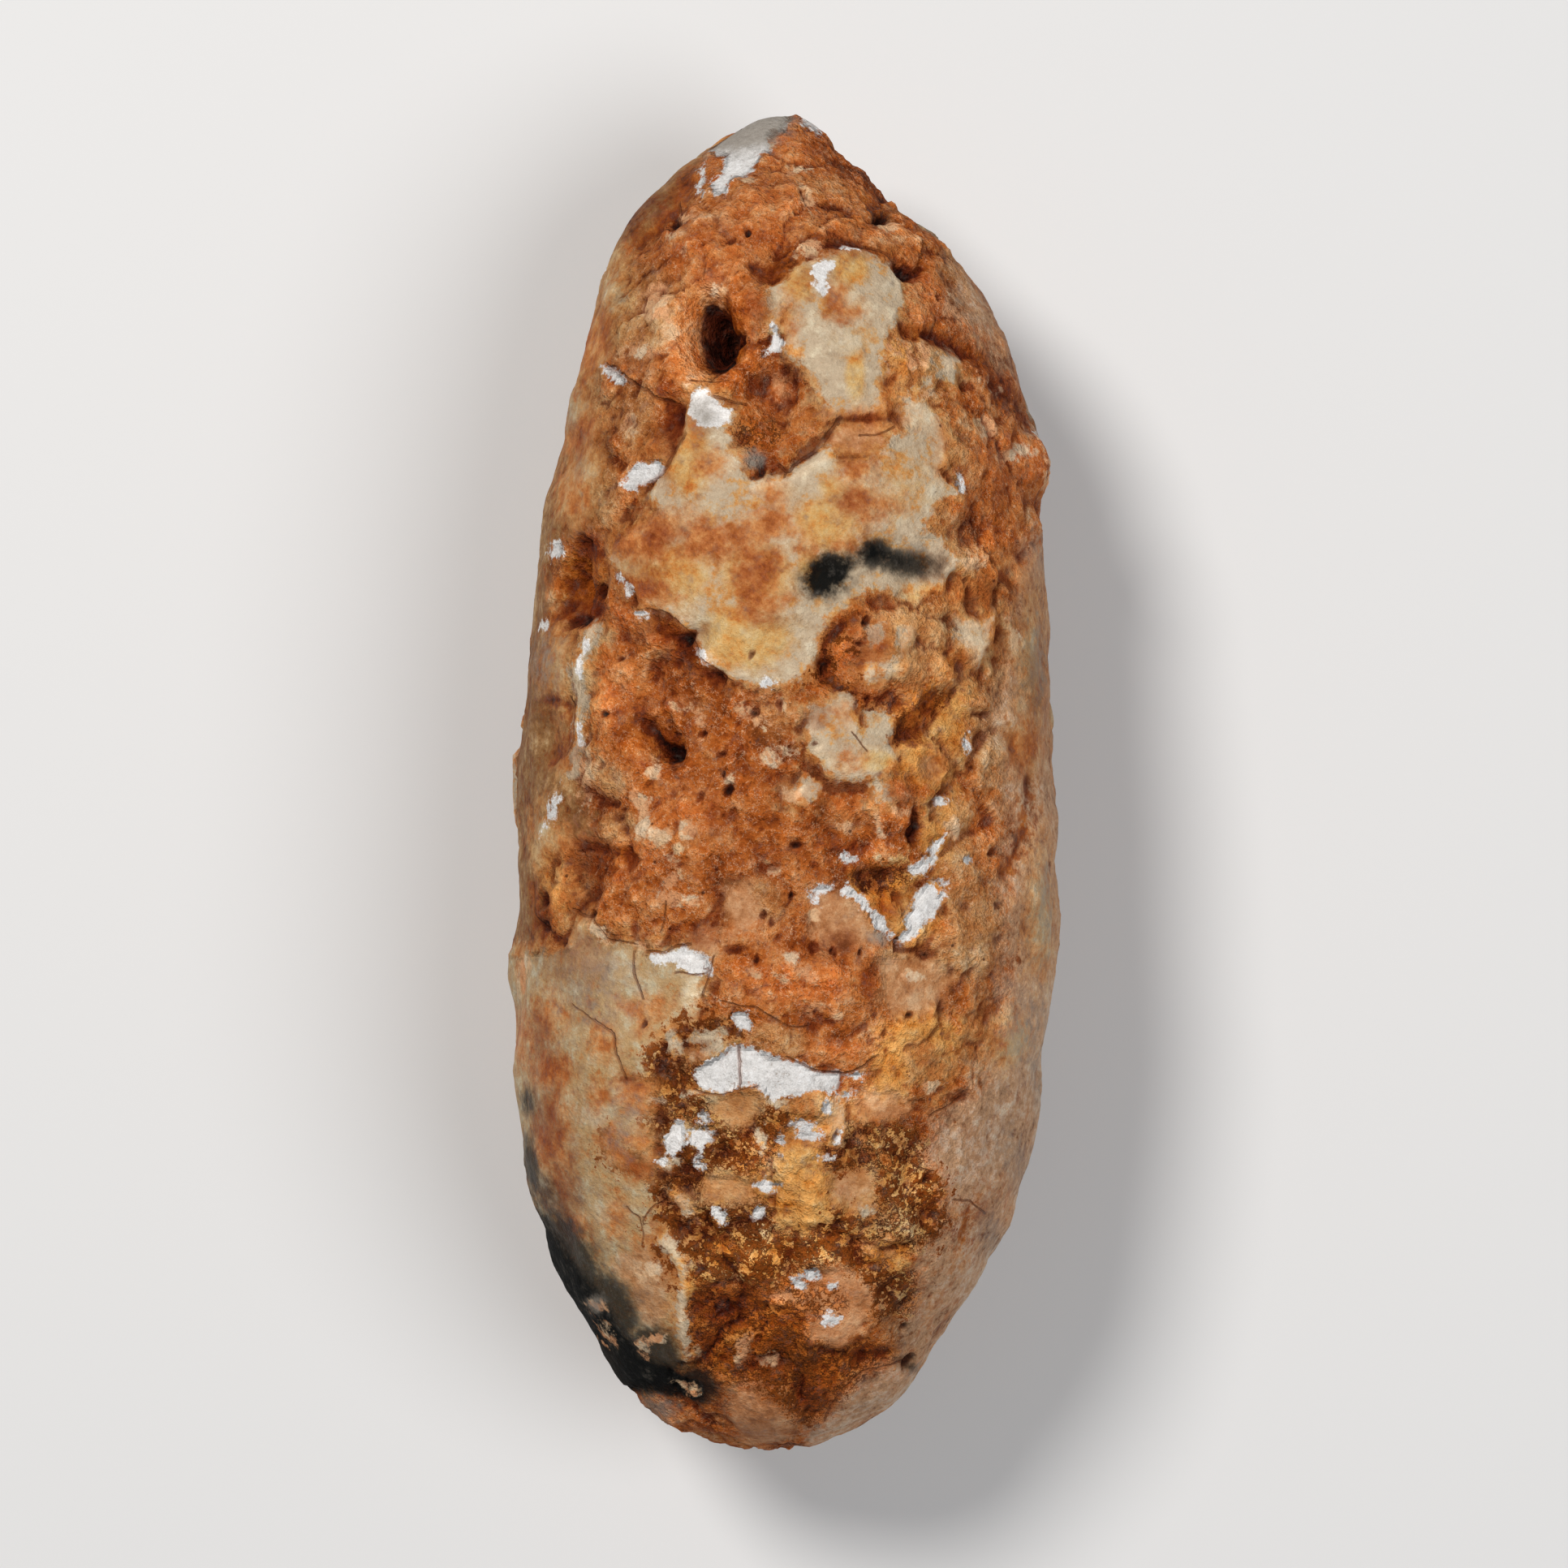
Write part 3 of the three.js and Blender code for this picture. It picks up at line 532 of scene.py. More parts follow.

# Openings painted near black and dark red-brown: painted shade deep inside sockets, slots and pinholes, over
# their own dark red-brown.
DARK = [
    area(-48, 249, -46, 255, -41, 256.5, -35, 254, -32, 250, -32, 243, -30, 239.5, -25, 239, -21, 237, -22,
         232, -28, 230, -31, 226, -29, 221, -33, 217, -40, 216, -46, 219, -49, 227, -49.5, 236),
    spot(-12, 164, 2, 4, -15), spot(-15, 160, 3, 1.2),
    area(59, 274, 64, 274.5, 70, 272, 74, 272, 73, 269, 68, 266.5, 63, 268), spot(51, 296, 4, 3, 20),
    spot(-109, 85, 5.5, 3, 15), spot(-98, 101, 2.2, 3.5), spot(-105, 127, 2.5, 2),
    spot(-52, 76, 2.2, 5, -40), spot(-35, 57, 4, 1.4, -35),
    area(-73, 30, -68, 26, -65, 21, -62, 19, -56, 20, -54, 16, -57, 12, -62, 11, -65, 15, -69, 21, -72, 27),
    spot(-74, 31, 1.2, 2.5, 40), spot(-43.5, 26, 1.8, 1.3, 30), spot(-34, 16.5, 2, 1.3),
    spot(-32, 5, 1, 2, 20), area(-31, -5, -28, -6, -26, -1, -29, 0, -31, -2), spot(-44.5, -6.5, 1.3, 1.3),
    spot(42, 85, 2, 2.4, -20), spot(39, 73.5, 1.6, 1.3), spot(20.5, 60, 0.9, 3, -10),
    spot(23, 64, 1.2, 1.2), spot(-125, -61, 2, 3.8, 10), spot(-123.5, -74.5, 1.5, 4.2, 40),
    spot(69.5, -19, 1.5, 4.5, 5), spot(67.5, -26, 1.7, 3.5, 10), spot(6, -31, 2.2, 1.4),
    spot(-15, -92, 1, 2), spot(16, 22, 1.8, 1), spot(-57, 293, 2, 3.5, -20), spot(-28, 284, 1.5, 1.5),
    spot(27, -184, 1, 2.5, -30), spot(64, -302, 1.4, 4, -30),
]
PINHOLES = [
    (-93, 37), (-86, 66), (-15, 38), (-2, 41), (-16, 68), (42, 75), (39, -88), (26, -88), (77, -90),
    (65, -120), (108, -36), (-7, -73), (-11, -68), (-100, -69), (75, -206), (63, -284), (111, -64),
    (82, 255), (96, 207), (106, 177), (4, -58), (52, -130), (-73, -125), (44, 44), (-19, 288),
]
PINHOLE_RADIUS = 1.3
DARK += [spot(x, y, PINHOLE_RADIUS, PINHOLE_RADIUS) for x, y in PINHOLES]

# Cracks and the painted shadow lines along ledge edges, as lines.
CRACK_AND_LEDGE_SHADOW_LINES = [
    (1, 91, -218, 97, -219, 101, -223),
    (2.2, -89, 218, -84, 215, -80, 211, -78, 208, -72, 207, -68, 203, -62, 201),
    (2, -53, 181, -56, 175, -59, 170, -62, 166, -64, 162, -69, 158, -74, 156),
    (1.4, -34, 202, -29, 200, -23, 199), (0.8, -46, 211, -40, 211, -32, 211),
    (2.8, 29, 190, 25, 185, 21, 180, 18, 177), (2, 18, 177, 14, 173, 10, 170, 6, 167, 2, 163, -1, 166),
    (1, 42, 182, 46, 182, 50, 183, 56, 186), (1.6, 26, 285, 35, 284, 45, 281, 52, 278, 59, 274),
    (1.2, -55, 302, -56, 292, -66, 288), (1.6, -69, 91, -63, 90, -57, 86, -51, 79, -47, 72),
    (1.2, -42, 64, -36, 60, -30, 56), (0.7, 37, 25, 41, 19), (1.6, -109, -67, -104, -69, -99, -69),
    (0.8, -99, -69, -95, -76, -92, -81, -80, -83), (1.6, -69, -88, -62, -88, -58, -85, -52, -84),
    (1, -62, -64, -62.5, -71, -63.5, -75), (1.3, -77, -90, -77.5, -100, -74.5, -110),
    (1.3, -97, -124, -92, -128, -89, -130, -87.5, -135, -87, -141, -85, -146, -84, -152),
    (0.7, -107, -117, -100, -122),
    (1, -31, -114, -24, -116, -15, -117, -12, -119, -6, -123, 2, -127, 10, -127),
    (1.4, 4, -144, 10, -146, 16, -150, 24, -151, 32, -151, 40, -149, 47, -144),
    (1.6, -23.5, -139, -22.5, -157), (1, -45, -160.5, -39, -162, -32, -163, -24, -161, -16, -159),
    (1, -54, -99, -46, -99.5, -40, -99), (1, -79, -223, -73, -228, -69, -223, -64, -218),
    (0.8, -74, -228, -73, -238), (1.4, 70, -200, 75, -202), (1.2, 80, -172, 86, -168, 90, -165),
    (1, 60, -302, 54, -304, 45, -307, 38, -310, 31, -316, 28, -323, 23, -330),
    (1, -111, 43, -108.5, 34, -110, 24, -113, 16), (1.2, -130, -56, -129.5, -66, -127, -72),
    (1, -37, -93, -39, -100, -42, -109),
]

# Soft black smudges.
SOOT = [
    area(10, 103, 11, 110, 14, 115, 19, 119, 24, 120, 30, 119, 34, 115, 33, 111, 29, 105, 24, 101, 19, 99,
         15, 100, 12, 101), spot(46, 121, 5, 4), spot(53, 119.5, 4, 2.5), spot(60, 116, 3, 1.2, -10),
    area(-134, -214, -124, -230, -117, -240, -109, -250, -102, -259, -96, -268, -89, -277, -82, -286, -74,
         -296, -65, -301, -57, -306, -51, -312, -43, -317, -42, -323, -52, -324, -62, -320, -70, -318, -84,
         -318, -110, -300, -130, -270, -150, -220),
]

# Soft washes of colour: the most of each round the sides and the belly, then soft ovals on the upper
# face, as x, y, half sizes, strength in tenths and turn.
WASHES = {
    "smoked": (0.25, [
        (47, 121, 10, 8, 10), (62, 116, 19, 8, 8.5, -8), (34, 116, 6, 5, 8), (22, 109, 15, 13, 6),
        (-132, -166, 4.5, 8, 7), (-131, -200, 5, 18, 8, 6), (-124, -214, 8, 12, 5, 20),
        (-115, -246, 15, 28, 11, 35), (-95, -274, 17, 23, 12, 45), (-69, -300, 18, 18, 12, 40),
        (-48, -316, 15, 10, 11, -20), (6, -31, 3, 2, 6), (-15, 168, 4, 5, 4), (72, 208, 3, 3, 3),
        (51, 296, 9, 6, 5, 20), (64, -303, 8, 4, 5, -20),
    ]),
    "lit": (0.3, [
        (30, -244, 18, 13, 9), (16, -262, 18, 9, 7), (72, -214, 10, 16, 9), (-4, -282, 26, 16, 6),
        (-16, -192, 16, 15, 7), (34, -162, 22, 12, 6), (16, -184, 14, 10, 4), (50, -59, 11, 9, 3.5),
        (46, -35, 12, 5, 5), (72, 42, 12, 10, 4), (124, -120, 18, 40, 3.5), (126, -40, 16, 40, 3),
        (56, -136, 16, 16, 4), (-14, -290, 12, 8, 4), (30, -280, 16, 12, 4), (34, -256, 14, 8, 3),
        (-2, -310, 12, 8, 3), (56, 88, 14, 8, 4), (-46, -256, 5, 14, 3), (-6, -244, 22, 9, 5),
        (106, 130, 9, 9, 5), (76, -82, 10, 8, 4.5), (-46, -112, 8, 7, 4), (62, 206, 9, 6, 4),
        (-94, 46, 10, 12, 2), (-18, 28, 20, 16, 3.5), (8, -108, 32, 12, 2.5), (-80, -40, 16, 9, 3),
        (20, -314, 10, 12, 6), (48, -300, 14, 9, 4, -20), (120, 120, 12, 16, 6), (46, 190, 8, 8, 3.5),
        (60, 42, 10, 8, 4.5), (9, -245, 18, 8, 7.5), (62, 218, 12, 13, 3.5), (82, 100, 16, 10, 4.5),
        (-8, -246, 34, 10, 5), (104, -22, 8, 14, 3.5), (-2, 200, 9, 10, 3), (78, 68, 12, 20, 3),
        (0, -246, 32, 9, 5), (-14, -260, 14, 8, 5), (122, -230, 12, 20, 3, 20),
    ]),
    "shaded": (0.7, [
        (-105, -94, 22, 18, 6), (-104, -114, 14, 10, 4), (14, 264, 12, 8, 5), (-74, 106, 20, 16, 5.5),
        (-76, -200, 10, 8, 6), (30, -82, 14, 8, 5), (76, 114, 10, 10, 5), (-14, 250, 8, 10, 7),
        (-60, 160, 10, 10, 4), (15, -6, 12, 8, 4), (60, -6, 10, 8, 4), (-16, 114, 16, 14, 4),
        (-124, 60, 12, 40, 4), (-58, 74, 20, 11, 6, -40), (-40, 56, 12, 6, 6, -30), (-78, 76, 8, 8, 4),
        (-6, 196, 8, 12, 3), (-30, 290, 20, 5, 3, -10), (-60, 296, 14, 10, 6, -40), (-106, 89, 12, 8, 10),
        (-102, 124, 8, 8, 8), (-117, 42, 7, 3, 5), (-59, 186, 7, 18, 9), (26, 285, 16, 5, 6),
        (66, 270, 12, 6, 8, -15), (86, 230, 20, 5, 7, -30), (114, 210, 10, 5, 7, -45),
        (-32, -276, 13, 14, 7), (12, -322, 6, 10, 6, 10), (-42, -296, 6, 14, 5), (52, -266, 6, 12, 3, -10),
        (23, 62, 3, 9, 3, -10), (-64, 18, 12, 10, 5, 45), (44, -104, 5, 16, 6), (-124, -68, 6, 13, 9),
        (-23, 9, 10, 20, 1.5, 20), (12, -87, 10, 6, 5), (46, 46, 16, 4, 6, -10), (68, -21, 5, 12, 6),
        (-10, 269, 9, 7, 5), (-19, 236, 6, 18, 4), (-86, -46, 14, 4, 5), (-12, 46, 14, 4, 4, 20),
        (-36, -16, 5, 16, 5, 10), (-86, 26, 5, 14, 3), (6, -34, 18, 4, 5, 10), (32, -33, 16, 3.5, 5, -10),
        (86, 4, 4, 10, 3, 20), (76, 110, 4, 12, 4, 20), (98, 146, 5, 14, 4, -20),
        (-26, 284, 20, 3.5, 3, 10), (-2, 316, 22, 3.5, 3, -10), (-52, -42, 16, 3.5, 4, -10),
        (110, -94, 5, 16, 4, 10), (124, -64, 4, 18, 3), (97, -186, 5, 18, 3, 25), (-93, 244, 3, 26, 4, 5),
        (-106, 176, 4, 26, 4, 10), (44, 74, 12, 15, 6), (34, 148, 13, 9, 6), (-8, 86, 13, 7, 6),
        (30, 280, 20, 7, 7), (16, 34, 9, 8, 6), (-56, 42, 11, 7, 6), (-38, 265, 11, 7, 6),
        (76, 8, 11, 8, 4), (-60, 205, 9, 8, 5), (16, 266, 12, 6, 3), (0, -5, 10, 7, 4), (132, 50, 8, 30, 5),
        (53, -66, 14, 9, 6), (60, -5, 10, 8, 7.5), (-45, -80, 10, 7, 6.5), (-45, -140, 10, 7, 5.5),
        (-105, -26, 9, 24, 5), (-105, -66, 7, 9, 4), (16, 280, 12, 8, 7), (-75, 220, 10, 8, 4.5),
        (-15, 250, 9, 8, 4), (-124, -140, 8, 24, 6), (-122, -176, 9, 22, 7), (-116, -214, 12, 16, 7, 20),
        (-110, -190, 7, 12, 4), (0, 2, 12, 9, 5), (-62, 130, 12, 8, 6), (30, 242, 10, 10, 3),
        (-74, 10, 8, 6, 5), (-74, 40, 10, 7, 6, 30), (-110, 14, 8, 16, 4), (-80, -162, 10, 12, 3.5),
        (102, -222, 10, 14, 3.5), (-45, 174, 8, 8, 3.5), (-76, 220, 8, 9, 3), (-75, 10, 9, 8, 3.5),
        (-105, -64, 7, 9, 4), (-106, -170, 9, 11, 3), (-90, 108, 7, 11, 4), (-44, 190, 9, 10, 6),
        (82, -16, 9, 16, 3), (30, -216, 9, 9, 3.5),
    ]),
    "browned": (0.9, [
        (-75, 20, 15, 18, 11, 30), (-106, -14, 12, 16, 10), (-60, 205, 10, 14, 8),
        (-60, 72, 24, 18, 9, -35), (-44, 54, 18, 12, 8, -30), (-8, 204, 14, 22, 3.5),
        (-26, 26, 20, 30, 6, 30), (-56, 32, 14, 14, 8), (6, -28, 34, 16, 4), (-104, -48, 9, 18, 8),
        (70, 284, 24, 12, 4, -35), (104, 220, 22, 10, 8, -45), (-70, 306, 16, 28, 9, -35),
        (22, 62, 7, 14, 5), (-104, 106, 14, 26, 10), (6, -296, 46, 24, 10), (-124, -66, 9, 16, 9),
        (-24, 240, 9, 18, 8), (45, -106, 7, 20, 8), (-47, -73, 9, 8, 8), (90, -109, 14, 8, 7, 20),
        (-58, 186, 9, 18, 10), (44, -288, 14, 12, 6), (-94, 182, 6, 16, 6), (-9, -129, 12, 4, 3, -20),
    ]),
    "tanned": (1.0, [
        (-4, 304, 46, 24, 5.5), (-44, 262, 20, 16, 6), (-64, 228, 8, 22, 5), (-22, 276, 26, 12, 5),
        (56, 86, 16, 12, 6), (-16, 216, 8, 16, 3), (6, -106, 36, 16, 5), (-54, -26, 22, 14, 5),
        (-74, -62, 14, 14, 3), (-8, 32, 20, 14, 7, 30), (34, -18, 18, 8, 6), (-48, 286, 12, 6, 5),
        (6, 314, 14, 14, 5, 20), (94, 174, 16, 24, 5), (-74, 246, 20, 30, 10), (-80, 194, 14, 18, 10),
        (-100, 152, 16, 24, 9), (-76, 124, 22, 24, 8), (72, 80, 22, 24, 10), (88, 128, 18, 14, 6),
        (106, 32, 16, 44, 8), (72, -98, 26, 26, 10), (-18, -64, 22, 18, 8), (98, -76, 18, 40, 8),
        (74, 218, 24, 18, 9), (86, -26, 14, 24, 10), (-4, -134, 18, 9, 10, -10), (34, -72, 22, 16, 8),
        (-96, 0, 14, 12, 9), (48, -168, 24, 14, 6), (96, 262, 12, 26, 9, 20), (-50, 40, 12, 9, 6),
        (-90, -22, 18, 9, 9), (60, -288, 12, 20, 7), (92, -140, 14, 16, 6),
    ]),
    "brightened": (0.8, [
        (32, 72, 18, 20, 8), (-92, 46, 14, 26, 10), (-54, -14, 24, 16, 8), (-70, -30, 16, 10, 7),
        (6, -102, 40, 16, 8), (-8, 294, 36, 24, 7), (-38, 276, 28, 16, 8), (-16, -76, 16, 6, 8),
        (116, 170, 16, 20, 10), (46, 64, 10, 14, 10), (26, -280, 16, 14, 9), (4, 330, 18, 16, 6),
        (50, 288, 16, 6, 8), (74, 254, 12, 16, 7), (-56, 222, 12, 12, 6), (28, -141, 18, 8, 8),
        (-8, -80, 10, 6, 4), (36, -12, 14, 10, 6), (-84, 86, 10, 7, 8),
    ]),
    "chipped": (0.6, [
        (-44, -8, 20, 10, 8), (-76, -40, 16, 18, 7), (-34, -54, 16, 12, 6), (24, -10, 14, 8, 6),
        (-86, 46, 9, 20, 5), (-10, 14, 16, 12, 9), (-52, 36, 14, 12, 8), (-12, 38, 16, 12, 9),
        (-56, -30, 24, 12, 8), (-56, -56, 16, 12, 7), (72, 222, 22, 14, 10), (-8, -46, 16, 9, 8),
        (38, -22, 20, 9, 5), (94, 120, 20, 20, 5), (104, 36, 16, 34, 5), (62, -102, 18, 12, 7),
        (72, 76, 16, 22, 10), (102, 184, 12, 14, 8), (12, -112, 16, 12, 5), (-98, 8, 12, 14, 7),
        (92, -58, 12, 26, 6), (84, -20, 10, 16, 7), (14, 306, 14, 14, 6, 30), (56, 76, 14, 14, 7),
        (-30, 6, 14, 10, 6, 30), (4, -12, 12, 8, 6), (-70, -14, 16, 9, 6, 20), (-26, -26, 14, 9, 5, -20),
        (28, 24, 10, 9, 5), (-22, 296, 16, 10, 5), (-36, 278, 12, 8, 5),
    ]),
    # Greyed: partly a grey tone and partly painted shade along the rims of both flanks.
    "greyed": (0.35, [
        (-41, 194, 9, 9, 5), (135, -60, 6, 30, 3.5), (130, -145, 8, 30, 3.5, 5),
        (120, -198, 9, 22, 3.5, 15), (110, -240, 9, 18, 3.5, 25), (134, 70, 5, 24, 3), (132, 122, 5, 16, 3),
        (-124, 64, 8, 16, 3), (-16, 346, 24, 13, 10, 20), (-24, 342, 22, 7, 10, 25), (66, 124, 10, 4, 3),
        (-16, 170, 6, 5, 8), (-94, -110, 24, 20, 3), (-66, -326, 12, 5, 5, -25), (-84, -178, 12, 20, 3),
        (50, -81, 6, 5, 6), (126, -126, 16, 30, 4), (-98, -272, 6, 5, 6),
    ]),
    "yellowed": (0.9, [
        (-15, 110, 20, 16, 9), (-74, 108, 16, 14, 8), (-20, 78, 24, 18, 10), (-56, 110, 22, 18, 7),
        (-50, 170, 12, 18, 10), (37, 214, 5, 13, 9), (8, 262, 9, 10, 8), (34, 270, 10, 10, 9),
        (22, 136, 18, 14, 9), (26, 154, 9, 8, 7), (64, 156, 14, 16, 4), (-96, -134, 20, 20, 4),
        (-64, -110, 12, 12, 7), (56, -144, 14, 20, 9), (74, 98, 14, 8, 6), (48, 12, 10, 6, 8),
        (12, 116, 6, 8, 8), (-46, -262, 5, 14, 8), (14, -184, 16, 16, 6), (-44, 190, 8, 10, 6),
        (38, 150, 10, 8, 5), (-104, -170, 9, 12, 4),
    ]),
    "whitened": (0.6, [
        (-38, 192, 9, 12, 3), (-26, 176, 5, 9, 5), (-40, 144, 8, 6, 6), (22, 166, 12, 5, 7),
        (70, 192, 9, 6, 8, -20), (58, 140, 9, 7, 7), (78, 154, 8, 5, 7, 20), (2, 124, 7, 6, 7),
        (15, 70, 5, 9, 6), (34, 234, 16, 10, 7), (56, 260, 6, 10, 5), (48, 206, 5, 12, 4),
        (-48, -110, 6, 12, 9), (-98, -173, 9, 9, 7), (-100, -92, 14, 9, 6), (-75, -174, 5, 6, 6),
        (-70, -233, 6, 5, 6), (18, 92, 6, 5, 6), (22, 12, 9, 4, 7, -30), (48, 30, 6, 7, 5),
        (100, 78, 7, 8, 5), (-94, -224, 10, 8, 5), (-56, -246, 4, 7, 7, 30), (-84, -96, 12, 12, 5),
    ]),
}

# Every kind of patch: its marks, then how it goes on round the sides and the belly, as patch size
# and share of the surface.
LAYERS = {
    "shell": (SHELL, 11.0, 0.36),
    "flank": (FLANK, 9.0, 0.34),
    "ochre": (OCHRE, 4.5, 0.12),
    "dusty": (DUSTY, 3.5, 0.12),
    "cream": (CREAM, 7.0, 0.16),
    "pale": (PALE, 8.0, 0.16),
    "stain": (STAIN, 2.0, 0.08),
    "crust": (CRUST, 5.0, 0.1),
    "rust": (RUST, 3.0, 0.08),
    "clot": (CLOT, 1.8, 0.02),
    "deep": (DEEP, 3.0, 0.05),
    "grain_patch": (GRAIN_PATCH, 2.2, 0.04),
    "flake": (FLAKE, 1.6, 0.03),
    "chalk": (CHALK, 2.6, 0.012),
    "dark": (DARK, 1.4, 0.006),
    "soot": (SOOT, 6.0, 0.008),
}

# How far each kind of patch stands over the rough ground mass, and over what width it rises.
STANDS = {
    "cream": (0.2, 0.8),
    "pale": (0.16, 0.8),
    "chalk": (0.03, 0.3),
    "shell": (0.14, 0.8),
    "flank": (0.14, 1.0),
    "deep": (-0.2, 0.6),
    "clot": (-0.08, 0.5),
    "dark": (-0.55, 0.3),
    "dusty": (0.05, 0.8),
    "crust": (-0.05, 0.4),
}

# How much of the ground mass's roughness each smooth kind of patch takes away.
SMOOTHING = {"cream": 1.0, "pale": 1.0, "shell": 1.0, "dusty": 1.0, "chalk": 1.0, "flank": 0.8}

# Deep places beyond their layer's depth, in millimetres: x, y, half sizes, turn, depth.
PITS = [
    ("seed socket", -3.95, 23.6, 1.25, 2.2, 0, 1.8), ("slant slot", -6.1, 1.7, 0.42, 0.8, 50, 0.45),
    ("slant bowl", -6.9, 2.9, 1.1, 2, 40, 0.35), ("upper bowl", -0.5, 20.8, 1.3, 2, 0, 0.35),
    ("brow shadow", -5.4, 6.9, 0.9, 2.4, -50, 0.45), ("crack bed", 1.6, 17.6, 0.5, 1.6, -50, 0.35),
    ("crust basin", -2, -29.2, 2.6, 1.9, 0, 0.3), ("rust nest", 5.4, -5.6, 1.2, 1.2, 0, 0.3),
    ("upper groove", 6.6, 26.9, 0.9, 0.4, -15, 0.5), ("nose eye", 5.2, 29.6, 0.5, 0.4, 0, 0.4),
]

# Lumps of the ground mass that stand out one by one, in millimetres: x, y, half sizes, turn, rise.
LUMPS = [
    ("scale stub", 13, 17, 0.9, 1.7, 0, 0.5), ("nodule", 4.9, 7.3, 1.9, 1.9, 0, 0.3),
    ("brow shelf", -9, 4.4, 1.1, 2.2, 0, 0.3), ("centre lump", -5.6, -2.6, 2.2, 1.8, 10, 0.3),
    ("right lump", 5.6, -1.6, 1.6, 1.3, 0, 0.25), ("middle lump", 1.2, -1.8, 1.8, 1.3, 20, 0.2),
    ("low lump", -7.2, -6, 1.8, 1.5, 0, 0.3), ("nose ridge", -0.6, 30.4, 2.6, 1.2, 10, 0.25),
    ("left nose lump", -4.4, 28.2, 1.6, 1.1, -20, 0.25), ("slab edge", 0.9, -9.9, 3.4, 0.8, -4, 0.2),
    ("lens", 2.6, -14.1, 1.9, 0.7, -6, 0.25), ("triangle", 2.5, -28.3, 1.1, 0.9, 0, 0.25),
    ("butt lump", -1.2, -33, 1.4, 1.1, 0, 0.2), ("right knoll", 9.9, 17.2, 1.6, 2.4, -10, 0.25),
]


# ---- Numbers over the surface --------------------------------------------------------------
# Every noise has a size in millimetres and a seed of its own.

# Further than any reach or gap that matters.
BIG = 9.0


def smooth_step(value, low, high):
    t = np.clip((value - low) / (high - low), 0, 1)
    return t * t * (3 - 2 * t)


def scattered(shuffle, cells):
    """A number picked at random for each cell of a grid in space, always the same one."""
    index = 0
    for column in cells.T:
        index = shuffle[(index + column) % len(shuffle)]
    return index


def cells_of(points, size):
    """Points measured in cells of this size, well away from nought, and the cell each lies in."""
    scaled = points / size + 1000
    return scaled, np.floor(scaled).astype(int)


def gradient_noise(points, size, seed):
    """Smooth noise of about -1 to 1 whose lumps are size across."""
    generator = np.random.default_rng(seed)
    slopes = generator.normal(size=(256, 3))
    slopes /= np.linalg.norm(slopes, axis=1)[:, None]
    shuffle = generator.permutation(256)
    scaled, cell = cells_of(points, size)
    inner = scaled - cell
    ease = inner**3 * (inner * (inner * 6 - 15) + 10)
    total = np.zeros(len(points))
    for corner in np.ndindex(2, 2, 2):
        value = np.einsum("ij,ij->i", slopes[scattered(shuffle, cell + corner)], inner - corner)
        total += value * np.prod(np.where(corner, ease, 1 - ease), axis=1)
    return 1.6 * total


def rough_noise(points, size, seed, octaves=4, fade=0.5):
    """Noise with finer and finer lumps added."""
    total = np.zeros(len(points))
    for octave in range(octaves):
        total += fade**octave * gradient_noise(points, size / 2**octave, seed + octave)
    return total


def nudges(points, size, *seeds, noise=gradient_noise, **options):
    """A noise for each seed, side by side."""
    return np.stack([noise(points, size, seed, **options) for seed in seeds], axis=1)


def cell_lumps(points, size, seed):
    """Rounded lumps packed side by side: their height, 0 to 1, and a random number for each."""
    count = 1024
    generator = np.random.default_rng(seed)
    shuffle = generator.permutation(count)
    jitter = generator.random((count, 3))
    scaled, cell = cells_of(points, size)
    nearest = np.full(len(points), BIG)
    second = np.full(len(points), BIG)
    owner = np.zeros(len(points), int)
    for step in np.ndindex(3, 3, 3):
        at = cell + np.array(step) - 1
        index = scattered(shuffle, at)
        distance = np.linalg.norm(at + jitter[index] - scaled, axis=1)
        closer = distance < nearest
        second = np.where(closer, nearest, np.minimum(second, distance))
        owner = np.where(closer, index, owner)
        nearest = np.where(closer, distance, nearest)
    return np.sqrt(np.clip(second - nearest, 0, 1)), generator.random(count)[owner]


def blurred(grid, sigma):
    """A grid of rings and spokes, blurred by sigma cells each way."""
    reach = max(1, int(3 * sigma))
    offsets = np.arange(-reach, reach + 1)
    weights = np.exp(-0.5 * (offsets / sigma) ** 2)
    weights /= weights.sum()
    rounded = sum(w * np.roll(grid, o, axis=1) for w, o in zip(weights, offsets))
    padded = np.pad(rounded, ((reach, reach), (0, 0)), mode="edge")
    rings = len(grid)
    return sum(w * padded[reach + o : reach + o + rings] for w, o in zip(weights, offsets))


# ---- The stone's mesh ------------------------------------------------------------------------


def ray_grid(rings, spokes):
    """Core points and directions, one for each ring and spoke, that feel out the stone's skin."""
    cap = CAP_RADIUS * math.pi / 2
    along = np.linspace(-cap - CORE_HALF, cap + CORE_HALF, rings + 1)[::-1]
    core_y = np.clip(along, -CORE_HALF, CORE_HALF)
    lean = (along - core_y) / CAP_RADIUS
    turn = 2 * math.pi * np.arange(spokes) / spokes
    turn = turn + SPOKE_CROWDING * np.cos(turn)
    directions = np.stack(
        [
            np.cos(lean)[:, None] * np.cos(turn),
            np.repeat(np.sin(lean)[:, None], spokes, axis=1),
            np.cos(lean)[:, None] * np.sin(turn),
        ],
        axis=-1,
    )
    cores = np.zeros_like(directions)
    cores[..., 1] = core_y[:, None]
    cores[..., 2] = CORE_HEIGHT
    return cores, directions


def skin_distance(cores, directions):
    """How far the solid's skin lies from each core point, in millimetres."""
    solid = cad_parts[CONE_NODE].data
    corners = [tuple(vertex.co) for vertex in solid.vertices]
    faces = [tuple(face.vertices) for face in solid.polygons]
    tree = BVHTree.FromPolygons(corners, faces)
    distances = np.empty(cores.shape[:2])
    for index in np.ndindex(distances.shape):
        hit = tree.ray_cast(Vector(cores[index] * MM), Vector(directions[index]))
        if hit[0] is None:
            raise RuntimeError("The solid has a gap: a ray from its core found no skin.")
        distances[index] = hit[3] / MM
    return distances


